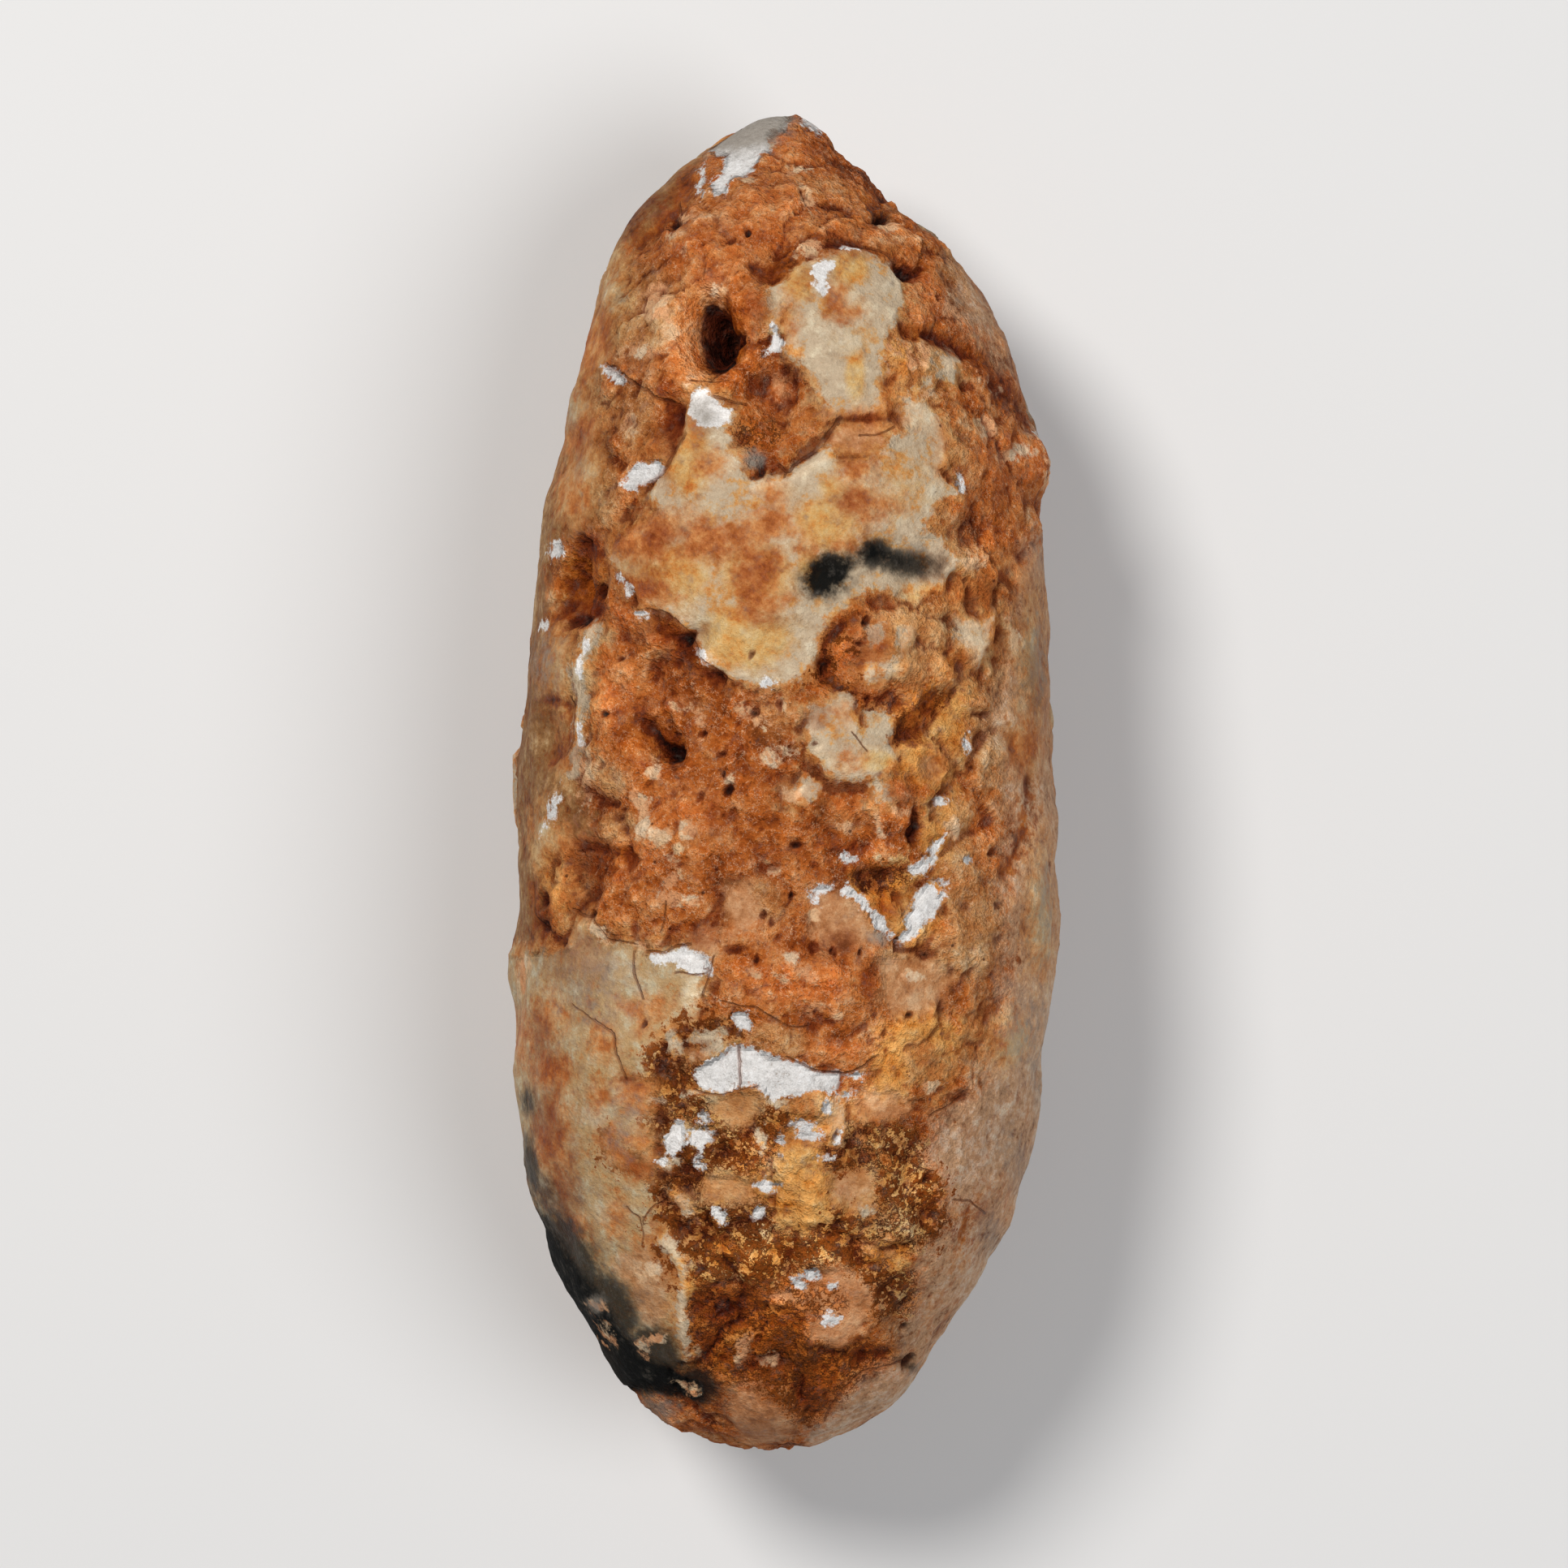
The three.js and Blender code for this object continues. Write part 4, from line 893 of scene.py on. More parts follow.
def face_plan(points):
    """Where each point falls on the face plan."""
    scale = EYE_DISTANCE / (EYE_DISTANCE - (points[:, 2] - RIM_HEIGHT))
    drop = np.clip(RIM_HEIGHT - points[:, 2], 0, STRAY_DEPTH)
    stray = nudges(points, STRAY_SIZE, 81, 82, noise=rough_noise, octaves=3)
    return points[:, :2] * scale[:, None] + STRAY_RATE * drop[:, None] * stray


def over_sides(on_face, on_side, upper):
    """The upper face's own value on top, and the value made up for the sides below."""
    return on_side + (on_face - on_side) * upper


def layer_reaches(points, upper):
    """Every layer's reach at every point."""
    plan = face_plan(points) + 0.12 * nudges(points, 1.1, 11, 12) + 0.06 * nudges(points, 0.5, 13, 14)
    reaches = {}
    for number, (name, (marks, size, share)) in enumerate(LAYERS.items()):
        on_face = np.max([mark(plan) for mark in marks], axis=0)
        noise = rough_noise(points, size, 100 + 10 * number, octaves=3)
        on_side = np.clip((noise - np.quantile(noise, 1 - share)) * size * 0.9, -FAR, FAR)
        reaches[name] = over_sides(on_face, on_side, upper)
    return reaches


def wash_amounts(points, upper):
    """How strong each soft wash of colour is at every point, 0 to 1."""
    plan = face_plan(points)
    amounts = {}
    for number, (name, (most_on_side, ovals)) in enumerate(WASHES.items()):
        on_face = np.zeros(len(points))
        for x, y, half_x, half_y, strength, *turn in ovals:
            place = np.array((x, y, half_x, half_y)) / TENTHS
            share = strength / TENTHS * np.exp(-oval(plan, *place, *(turn or (0,))) ** 1.5)
            on_face = np.maximum(on_face, share)
        noise = rough_noise(points, 5.0, 300 + 10 * number, octaves=3)
        amounts[name] = over_sides(on_face, most_on_side * smooth_step(noise, 0.1, 0.9), upper)
    return amounts


def crack_and_ledge_shadow_lines(points, upper):
    """How far each point is from the nearest of the crack lines and painted ledge shadow lines: to one side
    of it in half widths, and in millimetres.
    """
    plan = face_plan(points) + 0.1 * nudges(points, 0.9, 21, 22)
    side = np.full(len(points), BIG)
    gap = np.full(len(points), BIG)
    for width, *route in CRACK_AND_LEDGE_SHADOW_LINES:
        route = np.reshape(route, (-1, 2)) / TENTHS
        for start, end in zip(route, route[1:]):
            stretch = end - start
            offset = plan - start
            distance = off_stretch(plan, start, end)
            left = (offset[:, 1] * stretch[0] - offset[:, 0] * stretch[1]) / np.linalg.norm(stretch)
            nearer = distance < gap
            side = np.where(nearer, left / (width / TENTHS / 2), side)
            gap = np.where(nearer, distance, gap)
    return np.clip(side, -BIG, BIG), gap + BIG * (1 - upper)


def relief_height(points, reaches, upper, settings):
    """How far the fine surface stands over the skin, in millimetres, and how lumpy and how smooth it is."""
    smooth = np.zeros(len(points))
    height = np.zeros(len(points))
    for name, (rise, width) in STANDS.items():
        share = smooth_step(reaches[name], -width / 2, width / 2)
        height += rise * share
        smooth = np.maximum(smooth, SMOOTHING.get(name, 0) * share)
    plan = face_plan(points)
    for _, *place, depth in PITS:
        height -= depth * upper * np.exp(-oval(plan, *place) ** 2)
    for _, *place, rise in LUMPS:
        height += rise * upper * np.exp(-oval(plan, *place))
    crust = settings.crust / MM
    bent = points + 0.5 * nudges(points, 1.6, 41, 42, 43)
    large, clast = cell_lumps(bent, 3.4, 31)
    small, grit = cell_lumps(bent, 1.3, 32)
    rough = rough_noise(points, 1.6, 35, octaves=4, fade=0.6)
    lumpy = 0.3 + 0.7 * smooth_step(gradient_noise(points, 4.0, 51), -0.3, 0.6)
    lumps = lumpy * (0.9 * (large - 0.55) + 0.4 * (small - 0.55)) + 0.5 * (clast - 0.5) + 0.2 * (grit - 0.5)
    height += 0.3 * crust * rough_noise(points, 9.0, 61, octaves=3)
    height += 0.16 * crust * rough_noise(points, 2.6, 71, octaves=3)
    height += crust * (1 - 0.8 * smooth) * (1.15 * lumps + 0.42 * rough)
    return settings.relief * height, 0.65 * clast + 0.35 * grit, smooth


def stone_faces(rings, spokes):
    """Faces round the stone: rings of quads between two caps of triangles."""
    ring = np.arange(rings - 2)[:, None] * spokes + 1
    spoke = np.arange(spokes)
    following = (spoke + 1) % spokes
    corners = [ring + spoke, ring + following, ring + spokes + following, ring + spokes + spoke]
    quads = np.stack(corners, axis=-1).reshape(-1, 4)
    last = 1 + (rings - 2) * spokes
    caps = [(0, 1 + int(b), 1 + int(a)) for a, b in zip(spoke, following)]
    caps += [(last + spokes, last + int(a), last + int(b)) for a, b in zip(spoke, following)]
    return quads.tolist() + caps


def ends_joined(grid):
    """One row for each vertex, with the first and the last ring drawn together into the tip and the butt."""
    inner = grid[1:-1].reshape(-1, grid.shape[-1])
    return np.vstack([grid[0].mean(0), inner, grid[-1].mean(0)])


def build_stone_mesh(settings):
    """The stone's mesh, with its layers' reaches and its washes as attributes."""
    rings, spokes = settings.rings, settings.spokes
    cores, directions = ray_grid(rings, spokes)
    cell = SKIN_LENGTH / rings
    distance = blurred(skin_distance(cores, directions), settings.rim_softening / MM / cell)
    skin = cores + directions * distance[..., None]
    points = skin.reshape(-1, 3)

    level = RIM_HEIGHT - MARKS_END - MARKS_WANDER * smooth_step(rough_noise(points, 7.0, 91), -0.5, 0.6)
    upper = smooth_step(points[:, 2], level, level + MARKS_FADE)
    tint = rough_noise(points, 6.0, 95) * (1 - 0.75 * smooth_step(points[:, 2], 12.0, 19.0))
    reaches = layer_reaches(points, upper)
    height, clast, smooth = relief_height(points, reaches, upper, settings)
    height = height.reshape(distance.shape)
    resting = smooth_step(skin[..., 2], 0.0, REST_FADE)
    lifted = skin + directions * (height * resting)[..., None]
    lifted[..., 2] = np.maximum(lifted[..., 2], 0)

    mesh = bpy.data.meshes.new("fossil_stone")
    mesh.from_pydata((ends_joined(lifted) * MM).tolist(), [], stone_faces(rings, spokes))
    mesh.polygons.foreach_set("use_smooth", np.ones(len(mesh.polygons), bool))
    side, gap = crack_and_ledge_shadow_lines(points, upper)
    kept = {
        **reaches,
        "hollow": blurred(height, HOLLOW_BLUR) - height,
        "crevice": blurred(height, CREVICE_BLUR) - height,
        "clast": clast,
        "tint": 0.5 + 0.5 * np.clip(tint, -1, 1),
        "grain": 1 - 0.65 * smooth,
        **wash_amounts(points, upper),
        "crack_side": side,
        "crack_gap": gap,
    }
    for name, values in kept.items():
        column = ends_joined(values.reshape(rings + 1, spokes, 1)).ravel()
        attribute = mesh.attributes.new(name, "FLOAT", "POINT")
        attribute.data.foreach_set("value", column.astype(np.float32))
    mesh.validate()
    mesh.update()
    return mesh


# ---- Shader nodes ----------------------------------------------------------------------------


class Sketch:
    """Adds nodes to a tree, laid out in columns, and links them."""

    def __init__(self, tree):
        self.tree = tree
        self.count = 0

    def node(self, kind, inputs=None, **options):
        made = self.tree.nodes.new(kind)
        made.location = (-2400 + 190 * (self.count // 6), 500 - 210 * (self.count % 6))
        self.count += 1
        for name, value in options.items():
            setattr(made, name, value)
        for socket, value in (inputs or {}).items():
            self.feed(made.inputs[socket], value)
        return made

    def feed(self, socket, value):
        if isinstance(value, bpy.types.NodeSocket):
            self.tree.links.new(value, socket)
        elif socket.type == "RGBA" and len(value) == 3:
            socket.default_value = (*value, 1)
        else:
            socket.default_value = value

    def math(self, operation, a, b=0.0, c=0.0, clamp=False):
        made = self.node("ShaderNodeMath", {0: a, 1: b, 2: c}, operation=operation, use_clamp=clamp)
        return made.outputs[0]

    def plus(self, a, b):
        return self.math("ADD", a, b)

    def minus(self, a, b):
        return self.math("SUBTRACT", a, b)

    def times(self, a, b):
        return self.math("MULTIPLY", a, b)

    def size_of(self, a):
        return self.math("ABSOLUTE", a)

    def mix(self, factor, a, b, blend="MIX"):
        made = self.node("ShaderNodeMix", {0: factor, 6: a, 7: b}, data_type="RGBA", blend_type=blend)
        return made.outputs[2]

    def tinted(self, factor, a, b):
        return self.mix(factor, a, b, "MULTIPLY")

    def blend(self, factor, a, b):
        return self.node("ShaderNodeMix", {0: factor, 2: a, 3: b}).outputs[0]

    def step(self, value, low, high, to_low=0.0, to_high=1.0):
        inputs = {0: value, 1: low, 2: high, 3: to_low, 4: to_high}
        return self.node("ShaderNodeMapRange", inputs, interpolation_type="SMOOTHSTEP").outputs[0]

    def noise(self, place, scale, detail, roughness):
        inputs = {"Vector": place, "Scale": scale, "Detail": detail, "Roughness": roughness}
        return self.node("ShaderNodeTexNoise", inputs)

    def cells(self, place, scale):
        return self.node("ShaderNodeTexVoronoi", {"Vector": place, "Scale": scale, "Randomness": 1.0})

    def parts(self, colour):
        return self.node("ShaderNodeSeparateColor", {0: colour}).outputs

    def total(self, *parts):
        """Noises added up about a middle of one half, each as noise, weight."""
        value = 0.5
        for noise, weight in parts:
            value = self.plus(self.math("MULTIPLY_ADD", noise, weight, -0.5 * weight), value)
        return value

    def ramp(self, factor, stops):
        made = self.node("ShaderNodeValToRGB", {0: factor})
        elements = made.color_ramp.elements
        while len(elements) < len(stops):
            elements.new(0.5)
        for element, (position, colour) in zip(elements, stops):
            element.position = position
            element.color = (*colour, 1)
        return made.outputs[0]

    def attribute(self, name):
        return self.node("ShaderNodeAttribute", attribute_name=name).outputs["Fac"]


def new_group(name, inputs, outputs):
    """A shader node group, what draws in it, and the sockets of its input and output nodes.

    An input has a number to start from, or None for a place.
    """
    tree = bpy.data.node_groups.new(name, "ShaderNodeTree")
    for socket, default in inputs.items():
        kind = "NodeSocketVector" if default is None else "NodeSocketFloat"
        made = tree.interface.new_socket(socket, in_out="INPUT", socket_type=kind)
        if default is not None:
            made.default_value = default
    for socket in outputs:
        tree.interface.new_socket(socket, in_out="OUTPUT", socket_type="NodeSocketFloat")
    sketch = Sketch(tree)
    return tree, sketch, sketch.node("NodeGroupInput").outputs, sketch.node("NodeGroupOutput").inputs


def ragged_edge_group():
    """Turns a patch's reach into a mask whose edge is broken up by noise."""
    starts = {"Reach": 0.0, "Noise": 0.5, "Raggedness": 0.3, "Softness": 0.08, "Cover": BIG}
    tree, sketch, given, made = new_group("Ragged Edge", starts, ["Mask"])
    wander = sketch.times(sketch.minus(given["Noise"], 0.5), given["Raggedness"])
    moved = sketch.plus(sketch.math("MINIMUM", given["Reach"], given["Cover"]), wander)
    low = sketch.times(given["Softness"], -1.0)
    sketch.feed(made["Mask"], sketch.step(moved, low, given["Softness"]))
    return tree


GRAINS = ("Blotch", "Grit", "Dust", "Streak", "Pores", "Chips", "Tints", "Edge A", "Edge B", "Edge C")


def stone_grain_group():
    """The noises that every layer of the stone shares, from a place in millimetres."""
    tree, sketch, given, made = new_group("Stone Grain", {"Place": None, "Chips": 0.0}, GRAINS)

    def turned(place):
        """Turned, so that no side of the stone lies along the noise's own grid."""
        inputs = {"Vector": place, "Rotation": (0.5, 0.35, 0.6)}
        return sketch.node("ShaderNodeVectorRotate", inputs, rotation_type="EULER_XYZ").outputs[0]

    place = turned(given["Place"])
    long_ways = {0: given["Place"], 1: (1.4, 0.25, 1.4)}
    long_ways = turned(sketch.node("ShaderNodeVectorMath", long_ways, operation="MULTIPLY").outputs[0])
    # name, place, scale, detail, roughness
    for name, where, *settings in (
        ("Blotch", place, 0.6, 5.0, 0.66),
        ("Grit", place, 3.2, 3.0, 0.7),
        ("Dust", place, 12.0, 2.0, 0.7),
        ("Streak", long_ways, 1.0, 3.0, 0.6),
    ):
        sketch.feed(made[name], sketch.noise(where, *settings).outputs["Fac"])
    cells = sketch.cells(place, 1.1)
    size = sketch.step(sketch.parts(cells.outputs["Color"])[0], 0.5, 1.0, 0.0, 0.13)
    pores = sketch.math("DIVIDE", sketch.minus(size, cells.outputs["Distance"]), 0.05, clamp=True)
    sketch.feed(made["Pores"], pores)
    edges = sketch.noise(place, 1.5, 4.0, 0.68).outputs["Color"]
    for name, part in zip(("Edge A", "Edge B", "Edge C"), sketch.parts(edges)):
        sketch.feed(made[name], part)
    # Small rounded chips, each with a tint of its own, wherever Chips lets them grow.
    nudged = {0: edges, 1: (0.9, 0.9, 0.9), 2: place}
    nudged = sketch.node("ShaderNodeVectorMath", nudged, operation="MULTIPLY_ADD").outputs[0]
    clasts = sketch.cells(nudged, 0.85)
    kind = sketch.parts(clasts.outputs["Color"])
    reach = sketch.times(kind[0], sketch.math("MULTIPLY_ADD", given["Chips"], 0.55, -0.12))
    gap = sketch.minus(reach, clasts.outputs["Distance"])
    sketch.feed(made["Chips"], sketch.step(gap, -0.08, 0.06))
    sketch.feed(made["Tints"], kind[1])
    return tree


# Each ramp of colours: the noise it follows, then its stops, as a place on the noise in hundredths
# and a colour. A colour is red, green and blue, or a colour of the settings and how much to brighten it.
RAMPS = {
    "ground": (
        "broken", (10, 100, 42, 8), (30, 152, 74, 24), (48, 182, 98, 40), (66, 200, 124, 68),
        (82, 214, 156, 112), (96, 220, 188, 160),
    ),
    "tan": (
        "broken", (10, 130, 72, 30), (32, 168, 104, 56), (50, 188, 128, 78), (68, 204, 154, 106),
        (88, 216, 184, 148),
    ),
    "peach": (
        "mottle", (10, 150, 70, 22), (34, 188, 98, 42), (54, 204, 120, 62), (74, 216, 146, 92),
        (92, 222, 180, 142),
    ),
    "umber": (
        "broken", (10, 84, 32, 2), (32, 136, 62, 12), (50, 166, 84, 26), (68, 186, 108, 50),
        (88, 202, 142, 92),
    ),
    "chip": ("chip tint", (10, 194, 128, 80), (40, 212, 154, 110), (70, 214, 174, 132), (100, 212, 190, 160)),
    "shell": (
        "shell tint", (6, 84, 42, 14), (26, 128, 74, 34), (46, "shell"), (66, 158, 122, 82),
        (88, 192, 164, 126),
    ),
    "flank": (
        "flank tint", (10, 122, 70, 36), (32, "flank", 0.8), (50, "flank"), (70, 200, 172, 152),
        (92, 206, 188, 170),
    ),
    "flank stain": ("mottle", (20, 132, 76, 40), (50, 176, 112, 66), (80, 202, 146, 98)),
    "ochre": (
        "mottle", (8, 170, 84, 16), (26, 206, 124, 44), (44, "ochre", 1.2), (68, 226, 170, 102),
        (88, 230, 196, 146),
    ),
    "grain": ("mottle", (10, 150, 84, 36), (34, 186, 124, 72), (54, 204, 150, 100), (76, 214, 176, 132)),
    "dusty": ("mottle", (12, 140, 84, 48), (34, 170, 114, 74), (54, 190, 138, 100), (74, 202, 160, 126)),
    "cream": (
        "slow", (14, 188, 116, 54), (30, 200, 150, 94), (44, "cream", 0.92), (62, "cream"),
        (85, 216, 202, 180),
    ),
    "yellow": (
        "slow", (16, 184, 100, 38), (32, 200, 134, 66), (48, 206, 158, 96), (64, 208, 172, 118),
        (85, 210, 186, 146),
    ),
    "white": ("slow", (20, 194, 162, 124), (50, 210, 192, 166), (80, 218, 210, 196)),
    "pale": (
        "slow", (10, 158, 90, 44), (26, 180, 124, 76), (40, 180, 148, 108), (54, "pale"), (70, 190, 176, 150),
        (88, 204, 194, 176),
    ),
    "fringe": ("mottle", (14, 158, 88, 38), (36, 184, 118, 62), (54, 200, 144, 90), (74, 208, 168, 120)),
    "stain": ("mottle", (14, 136, 64, 22), (40, 172, 96, 44), (60, 194, 124, 68), (80, 204, 150, 100)),
    "crust": (
        "mottle", (10, 160, 92, 34), (28, 194, 130, 64), (44, 212, 160, 98), (62, 220, 182, 132),
        (80, 226, 206, 172),
    ),
    "amber": ("mottle", (15, 110, 48, 6), (40, 152, 76, 18), (60, 178, 98, 34), (85, 200, 130, 66)),
    "rust": ("fine", (20, 44, 16, 1), (50, "rust"), (80, 124, 60, 12)),
    "deep": (
        "mottle", (10, 76, 28, 1), (30, 120, 52, 2), (50, 150, 72, 8), (68, 178, 100, 30), (88, 202, 138, 72),
    ),
    "chalk": ("chalk tint", (10, 156, 140, 124), (32, "chalk", 0.88), (52, "chalk"), (80, 224, 222, 220)),
    "dark": ("mottle", (25, 22, 6, 1), (50, 58, 19, 4), (72, 120, 52, 16)),
}

# The layers of colour, from the bottom up: patch, ramp, edge noise, raggedness, softness, cover,
# widened by, strength, roughness (or nothing to leave it).
UNDER_LAYERS = [
    ("shell", "shell", "edge a", 3.0, 0.7, 1.1, 0.0, 0.92, 0.62),
    ("flank", "flank", "edge b and c", 3.4, 0.9, 1.3, 0.0, 0.92, 0.6),
    ("pale", "fringe", "edge a", 3.4, 0.5, BIG, 0.5, 0.75, None),
    ("pale", "pale", "edge b", 2.0, 0.35, BIG, 0.0, 1.0, 0.5),
    ("crust", "crust", "edge a", 3.0, 0.3, BIG, 0.0, 0.95, 0.62),
    ("ochre", "ochre", "edge b", 3.4, 0.6, 1.4, 0.1, 0.95, None),
    ("dusty", "dusty", "edge a", 2.4, 0.5, BIG, 0.0, 0.8, 0.7),
    ("cream", "fringe", "edge b", 4.0, 0.45, BIG, 0.55, 0.85, None),
    ("deep", "deep", "edge b", 2.4, 0.3, BIG, 0.0, 0.94, 0.6),
    ("rust", "amber", "speckle", 5.0, 0.35, 0.0, 0.0, 0.7, None),
    ("clot", "amber", "speckle", 5.0, 0.4, 0.5, 0.2, 0.9, None),
    ("rust", "rust", "net", 5.0, 0.14, -0.12, 0.0, 0.92, None),
    ("clot", "rust", "speckle", 6.0, 0.16, 0.15, 0.0, 0.92, 0.7),
    ("cream", "cream", "edge a", 2.0, 0.16, BIG, 0.0, 1.0, 0.45),
    ("stain", "fringe", "edge b", 2.4, 0.6, BIG, 0.35, 0.6, None),
    ("stain", "stain", "edge a", 2.6, 0.5, 0.8, 0.0, 0.92, None),
    ("grain_patch", "grain", "speckle", 3.4, 0.3, BIG, 0.0, 0.65, 0.6),
]
TOP_LAYERS = [
    ("soot", "soot", "edge b and grit", 1.1, 0.32, BIG, 0.08, 0.97, 0.95),
    ("flake", "chip", "edge c", 1.8, 0.16, BIG, 0.0, 0.85, 0.7),
    ("chalk", "chalk", "edge a and grit", 1.1, 0.09, BIG, 0.03, 1.0, 0.85),
    ("dark", "dark", "edge b", 0.45, 0.12, BIG, 0.0, 0.95, 0.8),
]


def build_stone_material(colours):
    """The mottled agate: layers of colour, each with its own gloss, grain and height."""
    material = bpy.data.materials.new("mottled_agate")
    material.use_nodes = True
    tree = material.node_tree
    tree.nodes.clear()
    sketch = Sketch(tree)
    mix, tinted, step, total = sketch.mix, sketch.tinted, sketch.step, sketch.total
    plus, minus, times = sketch.plus, sketch.minus, sketch.times

    object_place = sketch.node("ShaderNodeTexCoord").outputs["Object"]
    in_millimetres = {0: object_place, "Scale": 1 / MM}
    place = sketch.node("ShaderNodeVectorMath", in_millimetres, operation="SCALE").outputs[0]
    inputs = {"Place": place, "Chips": sketch.attribute("chipped")}
    grain = sketch.node("ShaderNodeGroup", inputs, node_tree=stone_grain_group())
    blotch, grit, dust, streak, pores, chips, tints, edge_a, edge_b, edge_c = grain.outputs
    ragged = ragged_edge_group()
    clast = sketch.attribute("clast")
    tint = sketch.attribute("tint")

    def thin_line(noise, middle, width):
        """Hairlines where a noise crosses its middle."""
        return step(sketch.size_of(minus(noise, middle)), width, 0.002)

    def wash(name, low, high, most=1.0):
        """A wash broken up by the blotches."""
        amount = plus(sketch.attribute(name), total((edge_b, 1.2)))
        return step(amount, 0.5 + low, 0.5 + high, 0.0, most)

    def stop_colour(picked, *rest):
        if isinstance(picked, str):
            return shade(getattr(colours, picked), *rest)
        return tone(picked, *rest)

    fine = total((grit, 1.6), (dust, 0.8))
    speckle = total((edge_c, 0.8), (grit, 0.8))
    noises = {
        "edge a": edge_a,
        "edge b": edge_b,
        "edge c": edge_c,
        "edge b and c": total((edge_b, 1.0), (edge_c, 0.7)),
        "edge a and grit": total((edge_a, 1.0), (grit, 0.5)),
        "edge b and grit": total((edge_b, 1.0), (grit, 0.5)),
        "mottle": total((blotch, 1.6), (grit, 0.5), (edge_c, 0.6)),
        "broken": total((blotch, 1.5), (grit, 0.4), (edge_c, 0.7), (clast, 0.4), (tint, 0.4)),
        "fine": fine,
        "slow": total((edge_c, 1.0), (blotch, 1.4)),
        "speckle": speckle,
        # Highest along the lines where two noises cross their middle: thin, wandering nets.
        "net": sketch.math("MULTIPLY_ADD", sketch.size_of(minus(speckle, 0.5)), -2.0, 0.62),
        "chip tint": plus(times(tints, 0.7), times(grit, 0.5)),
        "shell tint": total((streak, 0.5), (blotch, 1.4), (edge_b, 1.2), (grit, 0.6), (tint, 0.6)),
        "flank tint": total(
            (streak, 0.4), (blotch, 1.2), (grit, 0.8), (edge_a, 1.2), (edge_c, 0.6), (tint, 0.8)
        ),
        "chalk tint": total((blotch, 0.9), (grit, 0.9), (dust, 0.5)),
    }
    paints = {"soot": tuple(colours.soot)}
    for name, (noise, *stops) in RAMPS.items():
        stops = [(at / 100, stop_colour(*colour)) for at, *colour in stops]
        paints[name] = sketch.ramp(noises[noise], stops)
    dark_lines = thin_line(edge_b, 0.46, 0.012)

    # The rough ground mass and the soft washes over it.
    ground = mix(wash("tanned", 0.1, 0.8), paints["ground"], paints["tan"])
    ground = mix(wash("brightened", 0.1, 0.8), ground, paints["peach"])
    ground = mix(wash("browned", 0.1, 0.8, 0.9), ground, paints["umber"])
    ground = mix(times(chips, 0.85), ground, paints["chip"])
    ground = mix(times(thin_line(edge_a, 0.47, 0.016), 0.45), ground, tone(224, 184, 150))
    ground = mix(times(dark_lines, 0.5), ground, tone(124, 56, 20))
    ground = mix(step(fine, 0.24, 0.12, 0.0, 0.6), ground, tone(90, 36, 8))
    ground = mix(step(fine, 0.70, 0.86, 0.0, 0.5), ground, tone(226, 192, 164))

    stained = step(total((edge_b, 1.4), (blotch, 1.2), (tint, -1.0)), 0.52, 0.78, 0.0, 0.85)
    paints["flank"] = mix(stained, paints["flank"], paints["flank stain"])
    paints["cream"] = mix(wash("yellowed", 0.0, 0.7), paints["cream"], paints["yellow"])
    whitened = wash("whitened", 0.1, 0.9, 0.8)
    for name in ("cream", "pale"):
        paints[name] = mix(whitened, paints[name], paints["white"])

    def laid_over(colour, rough, layers):
        """Colour and roughness with some layers over them, and the layers' masks."""
        masks = {}
        for name, paint, edge, raggedness, softness, cover, widened, strength, gloss in layers:
            reach = sketch.attribute(name)
            inputs = {
                "Reach": plus(reach, widened) if widened else reach,
                "Noise": noises[edge],
                "Raggedness": raggedness,
                "Softness": softness,
                "Cover": cover,
            }
            mask = sketch.node("ShaderNodeGroup", inputs, node_tree=ragged).outputs["Mask"]
            masks[name] = mask
            colour = mix(mask if strength == 1.0 else times(mask, strength), colour, paints[paint])
            if gloss:
                rough = sketch.blend(mask, rough, gloss)
        return colour, rough, masks

    colour, rough, _ = laid_over(ground, GROUND_ROUGHNESS, UNDER_LAYERS)
    colour = tinted(1.0, colour, (0.94, 0.915, 0.82))
    colour = tinted(wash("shaded", -0.1, 0.9, 0.75), colour, tone(176, 112, 62))
    colour = tinted(wash("lit", -0.1, 0.9), colour, (1.75, 1.75, 1.75))
    colour = mix(wash("smoked", -0.1, 0.8, 0.93), colour, tone(24, 22, 17))
    colour, rough, masks = laid_over(colour, rough, TOP_LAYERS)
    bare = minus(1.0, masks["soot"])

    # Pores in the rough parts, hairlines in the smooth, crack lines and painted shadow lines along ledges,
    # painted shade in every hollow and crevice, and painted highlight on the raised parts.
    grain_share = sketch.attribute("grain")
    colour = mix(times(times(pores, grain_share), 0.8), colour, tone(60, 22, 6))
    colour = mix(times(times(dark_lines, bare), 0.22), colour, tone(124, 70, 32))
    # Crack lines and the painted shadow lines along ledge edges, dark with a soft brown fringe.
    wander = minus(total((blotch, 2.0), (grit, 2.5)), 0.5)
    off_line = sketch.size_of(plus(sketch.attribute("crack_side"), wander))
    gap = sketch.attribute("crack_gap")
    crack_and_ledge_shadow = times(step(off_line, 1.15, 0.35), step(gap, 0.4, 0.25))
    crack_and_ledge_shadow = times(crack_and_ledge_shadow, step(blotch, 0.3, 0.55, 0.35, 1.0))
    crack_and_ledge_fringe = times(step(off_line, 2.6, 0.8), step(gap, 0.5, 0.3))
    colour = mix(times(times(crack_and_ledge_fringe, bare), 0.3), colour, tone(160, 92, 46))
    colour = mix(times(times(crack_and_ledge_shadow, bare), 0.6), colour, tone(100, 46, 16))
    hollow = sketch.attribute("hollow")
    crevice = plus(sketch.attribute("crevice"), sketch.math("MULTIPLY_ADD", grit, 0.06, -0.03))
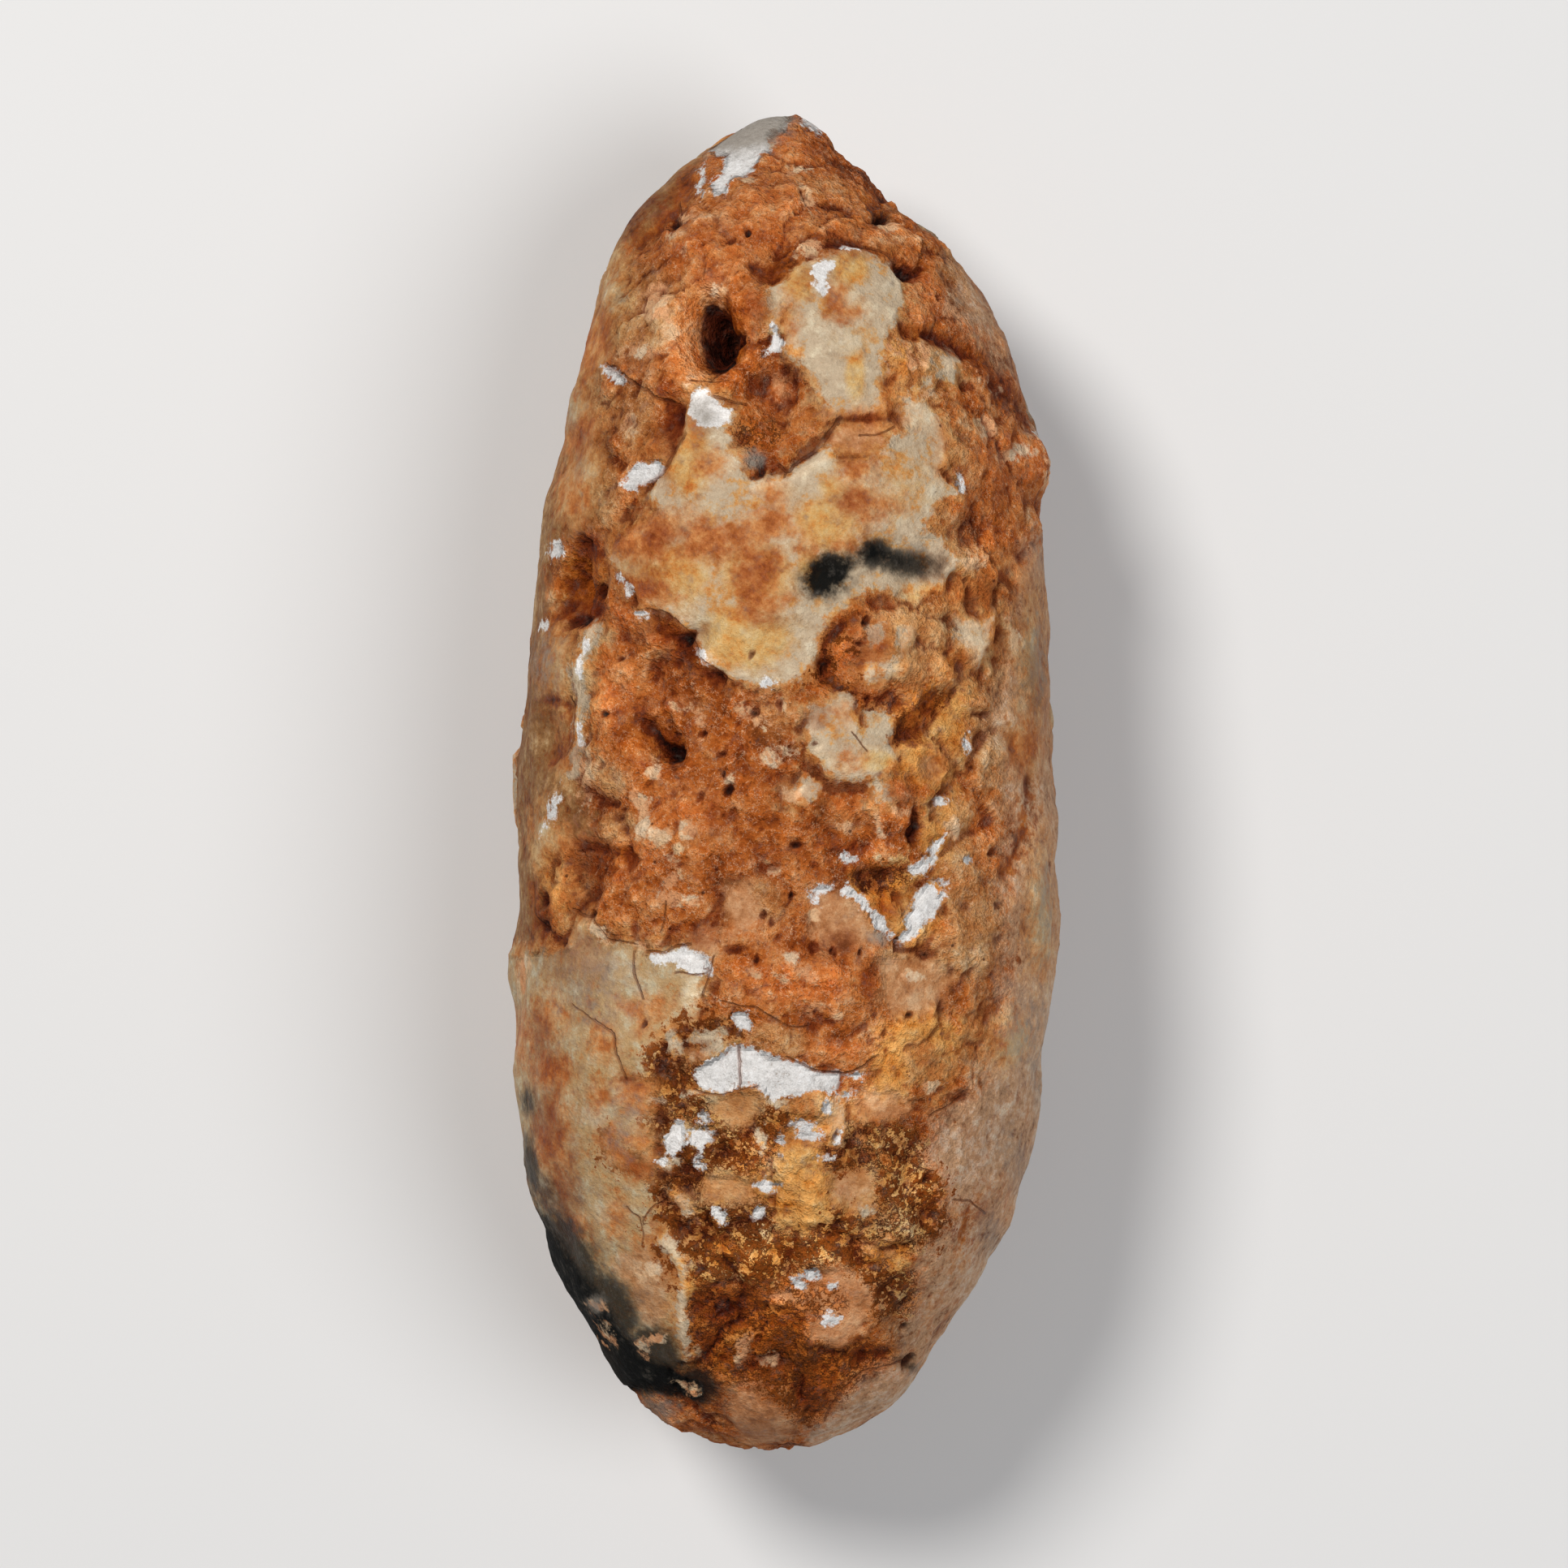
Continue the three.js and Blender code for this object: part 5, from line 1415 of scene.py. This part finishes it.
    # Painted shade: brown darkening wherever the surface lies below its own blur, in hollows and crevices.
    colour = tinted(step(hollow, 0.03, 0.3, 0.0, 0.5), colour, tone(160, 92, 48))
    colour = tinted(step(crevice, 0.02, 0.11, 0.0, 0.55), colour, tone(150, 84, 42))
    # Painted highlight: lightening wherever the surface stands above its own blur, on crevice rims and raised
    # parts.
    colour = tinted(step(crevice, -0.02, -0.1), colour, (1.16, 1.16, 1.16))
    colour = tinted(step(hollow, -0.05, -0.3), colour, (1.22, 1.2, 1.18))
    # Grey wash: partly a grey tone, partly painted shade along the rims of both flanks.
    colour = mix(wash("greyed", 0.0, 0.8, 0.85), colour, tone(142, 132, 120))
    specks = sketch.math("MULTIPLY_ADD", total((dust, 1.4), (grit, 1.2)), 0.3, 0.85)
    specks = sketch.node("ShaderNodeCombineXYZ", {0: specks, 1: specks, 2: specks}).outputs[0]
    colour = tinted(1.0, colour, specks)
    height = times(plus(times(grit, 0.28), times(blotch, 0.9)), grain_share)
    height = minus(height, times(crack_and_ledge_shadow, 0.12))
    bump = sketch.node("ShaderNodeBump", {"Strength": 1.0, "Distance": MM, "Height": height})

    look = {
        "Base Color": colour,
        "Roughness": rough,
        "Normal": bump.outputs["Normal"],
        "Specular IOR Level": SPECULAR,
    }
    surface = sketch.node("ShaderNodeBsdfPrincipled", look)
    sketch.node("ShaderNodeOutputMaterial", {"Surface": surface.outputs["BSDF"]})
    return material


def plain_material(name, colour, roughness):
    material = bpy.data.materials.new(name)
    material.use_nodes = True
    surface = material.node_tree.nodes["Principled BSDF"]
    surface.inputs["Base Color"].default_value = (*colour, 1)
    surface.inputs["Roughness"].default_value = roughness
    return material


# ---- Operators ---------------------------------------------------------------------------------


class FOSSIL_OT_stone(bpy.types.Operator):
    """Build the fine stone over the solid"""

    bl_idname = "fossil.stone"
    bl_label = "Stone"

    def execute(self, context):
        mesh = build_stone_mesh(context.scene.fossil_cone_shape)
        mesh.materials.append(build_stone_material(context.scene.fossil_cone_colours))
        stone = bpy.data.objects.new("fossil_stone", mesh)
        context.scene.collection.objects.link(stone)
        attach(stone, "root")
        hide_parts(CONE_NODE)
        return {"FINISHED"}


def soft_light(context, name, power):
    """A round soft light that looks at the middle of the stone."""
    place, size, colour = LIGHTS[name]
    lamp = bpy.data.lights.new(name, "AREA")
    lamp.shape = "DISK"
    lamp.size = size
    lamp.energy = power
    lamp.color = colour
    holder = bpy.data.objects.new(name, lamp)
    holder.location = place
    aim = Vector((0, 0, RIM_HEIGHT * MM)) - Vector(place)
    holder.rotation_euler = aim.to_track_quat("-Z", "Y").to_euler()
    context.scene.collection.objects.link(holder)


class FOSSIL_OT_studio(bpy.types.Operator):
    """Set the floor, the lights and the camera"""

    bl_idname = "fossil.studio"
    bl_label = "Studio"

    def execute(self, context):
        settings = context.scene.fossil_cone_studio
        mesh = bpy.data.meshes.new("floor")
        signs = ((-1, -1), (1, -1), (1, 1), (-1, 1))
        corners = [(x * FLOOR_HALF, y * FLOOR_HALF, -FLOOR_GAP) for x, y in signs]
        mesh.from_pydata(corners, [], [(0, 1, 2, 3)])
        mesh.materials.append(plain_material("pale_floor", tuple(settings.floor_colour), FLOOR_ROUGHNESS))
        floor = bpy.data.objects.new("floor", mesh)
        context.scene.collection.objects.link(floor)

        soft_light(context, "key", settings.key_power)
        soft_light(context, "fill", settings.fill_power)

        world = bpy.data.worlds.new("studio")
        world.use_nodes = True
        background = world.node_tree.nodes["Background"]
        background.inputs["Color"].default_value = (*WORLD_COLOUR, 1)
        background.inputs["Strength"].default_value = WORLD_STRENGTH
        context.scene.world = world
        context.scene.view_settings.view_transform = "Standard"

        lens = bpy.data.cameras.new("camera")
        lens.lens = settings.focal_length
        lens.sensor_width = SENSOR_WIDTH
        lens.clip_start = NEAREST_SEEN
        camera = bpy.data.objects.new("camera", lens)
        camera.location = (0, 0, (RIM_HEIGHT + EYE_DISTANCE) * MM)
        context.scene.collection.objects.link(camera)
        context.scene.camera = camera
        return {"FINISHED"}


class FOSSIL_PT_panel(bpy.types.Panel):
    """Settings and steps of the fossil cone"""

    bl_label = "Fossil Cone"
    bl_idname = "FOSSIL_PT_panel"
    bl_space_type = "VIEW_3D"
    bl_region_type = "UI"
    bl_category = "Fossil Cone"

    def draw(self, context):
        layout = self.layout
        for group in SETTINGS:
            settings = getattr(context.scene, group)
            box = layout.box()
            for name in settings.__annotations__:
                box.prop(settings, name)
        layout.operator(FOSSIL_OT_stone.bl_idname)
        layout.operator(FOSSIL_OT_studio.bl_idname)


SETTINGS = {
    "fossil_cone_shape": FossilConeShape,
    "fossil_cone_colours": FossilConeColours,
    "fossil_cone_studio": FossilConeStudio,
}
CLASSES = (*SETTINGS.values(), FOSSIL_OT_stone, FOSSIL_OT_studio, FOSSIL_PT_panel)


def register():
    for each in CLASSES:
        bpy.utils.register_class(each)
    for name, group in SETTINGS.items():
        setattr(bpy.types.Scene, name, PointerProperty(type=group))


def unregister():
    for name in SETTINGS:
        delattr(bpy.types.Scene, name)
    for each in reversed(CLASSES):
        bpy.utils.unregister_class(each)


def main():
    register()
    bpy.ops.fossil.stone()
    bpy.ops.fossil.studio()


if __name__ == "__main__":
    main()
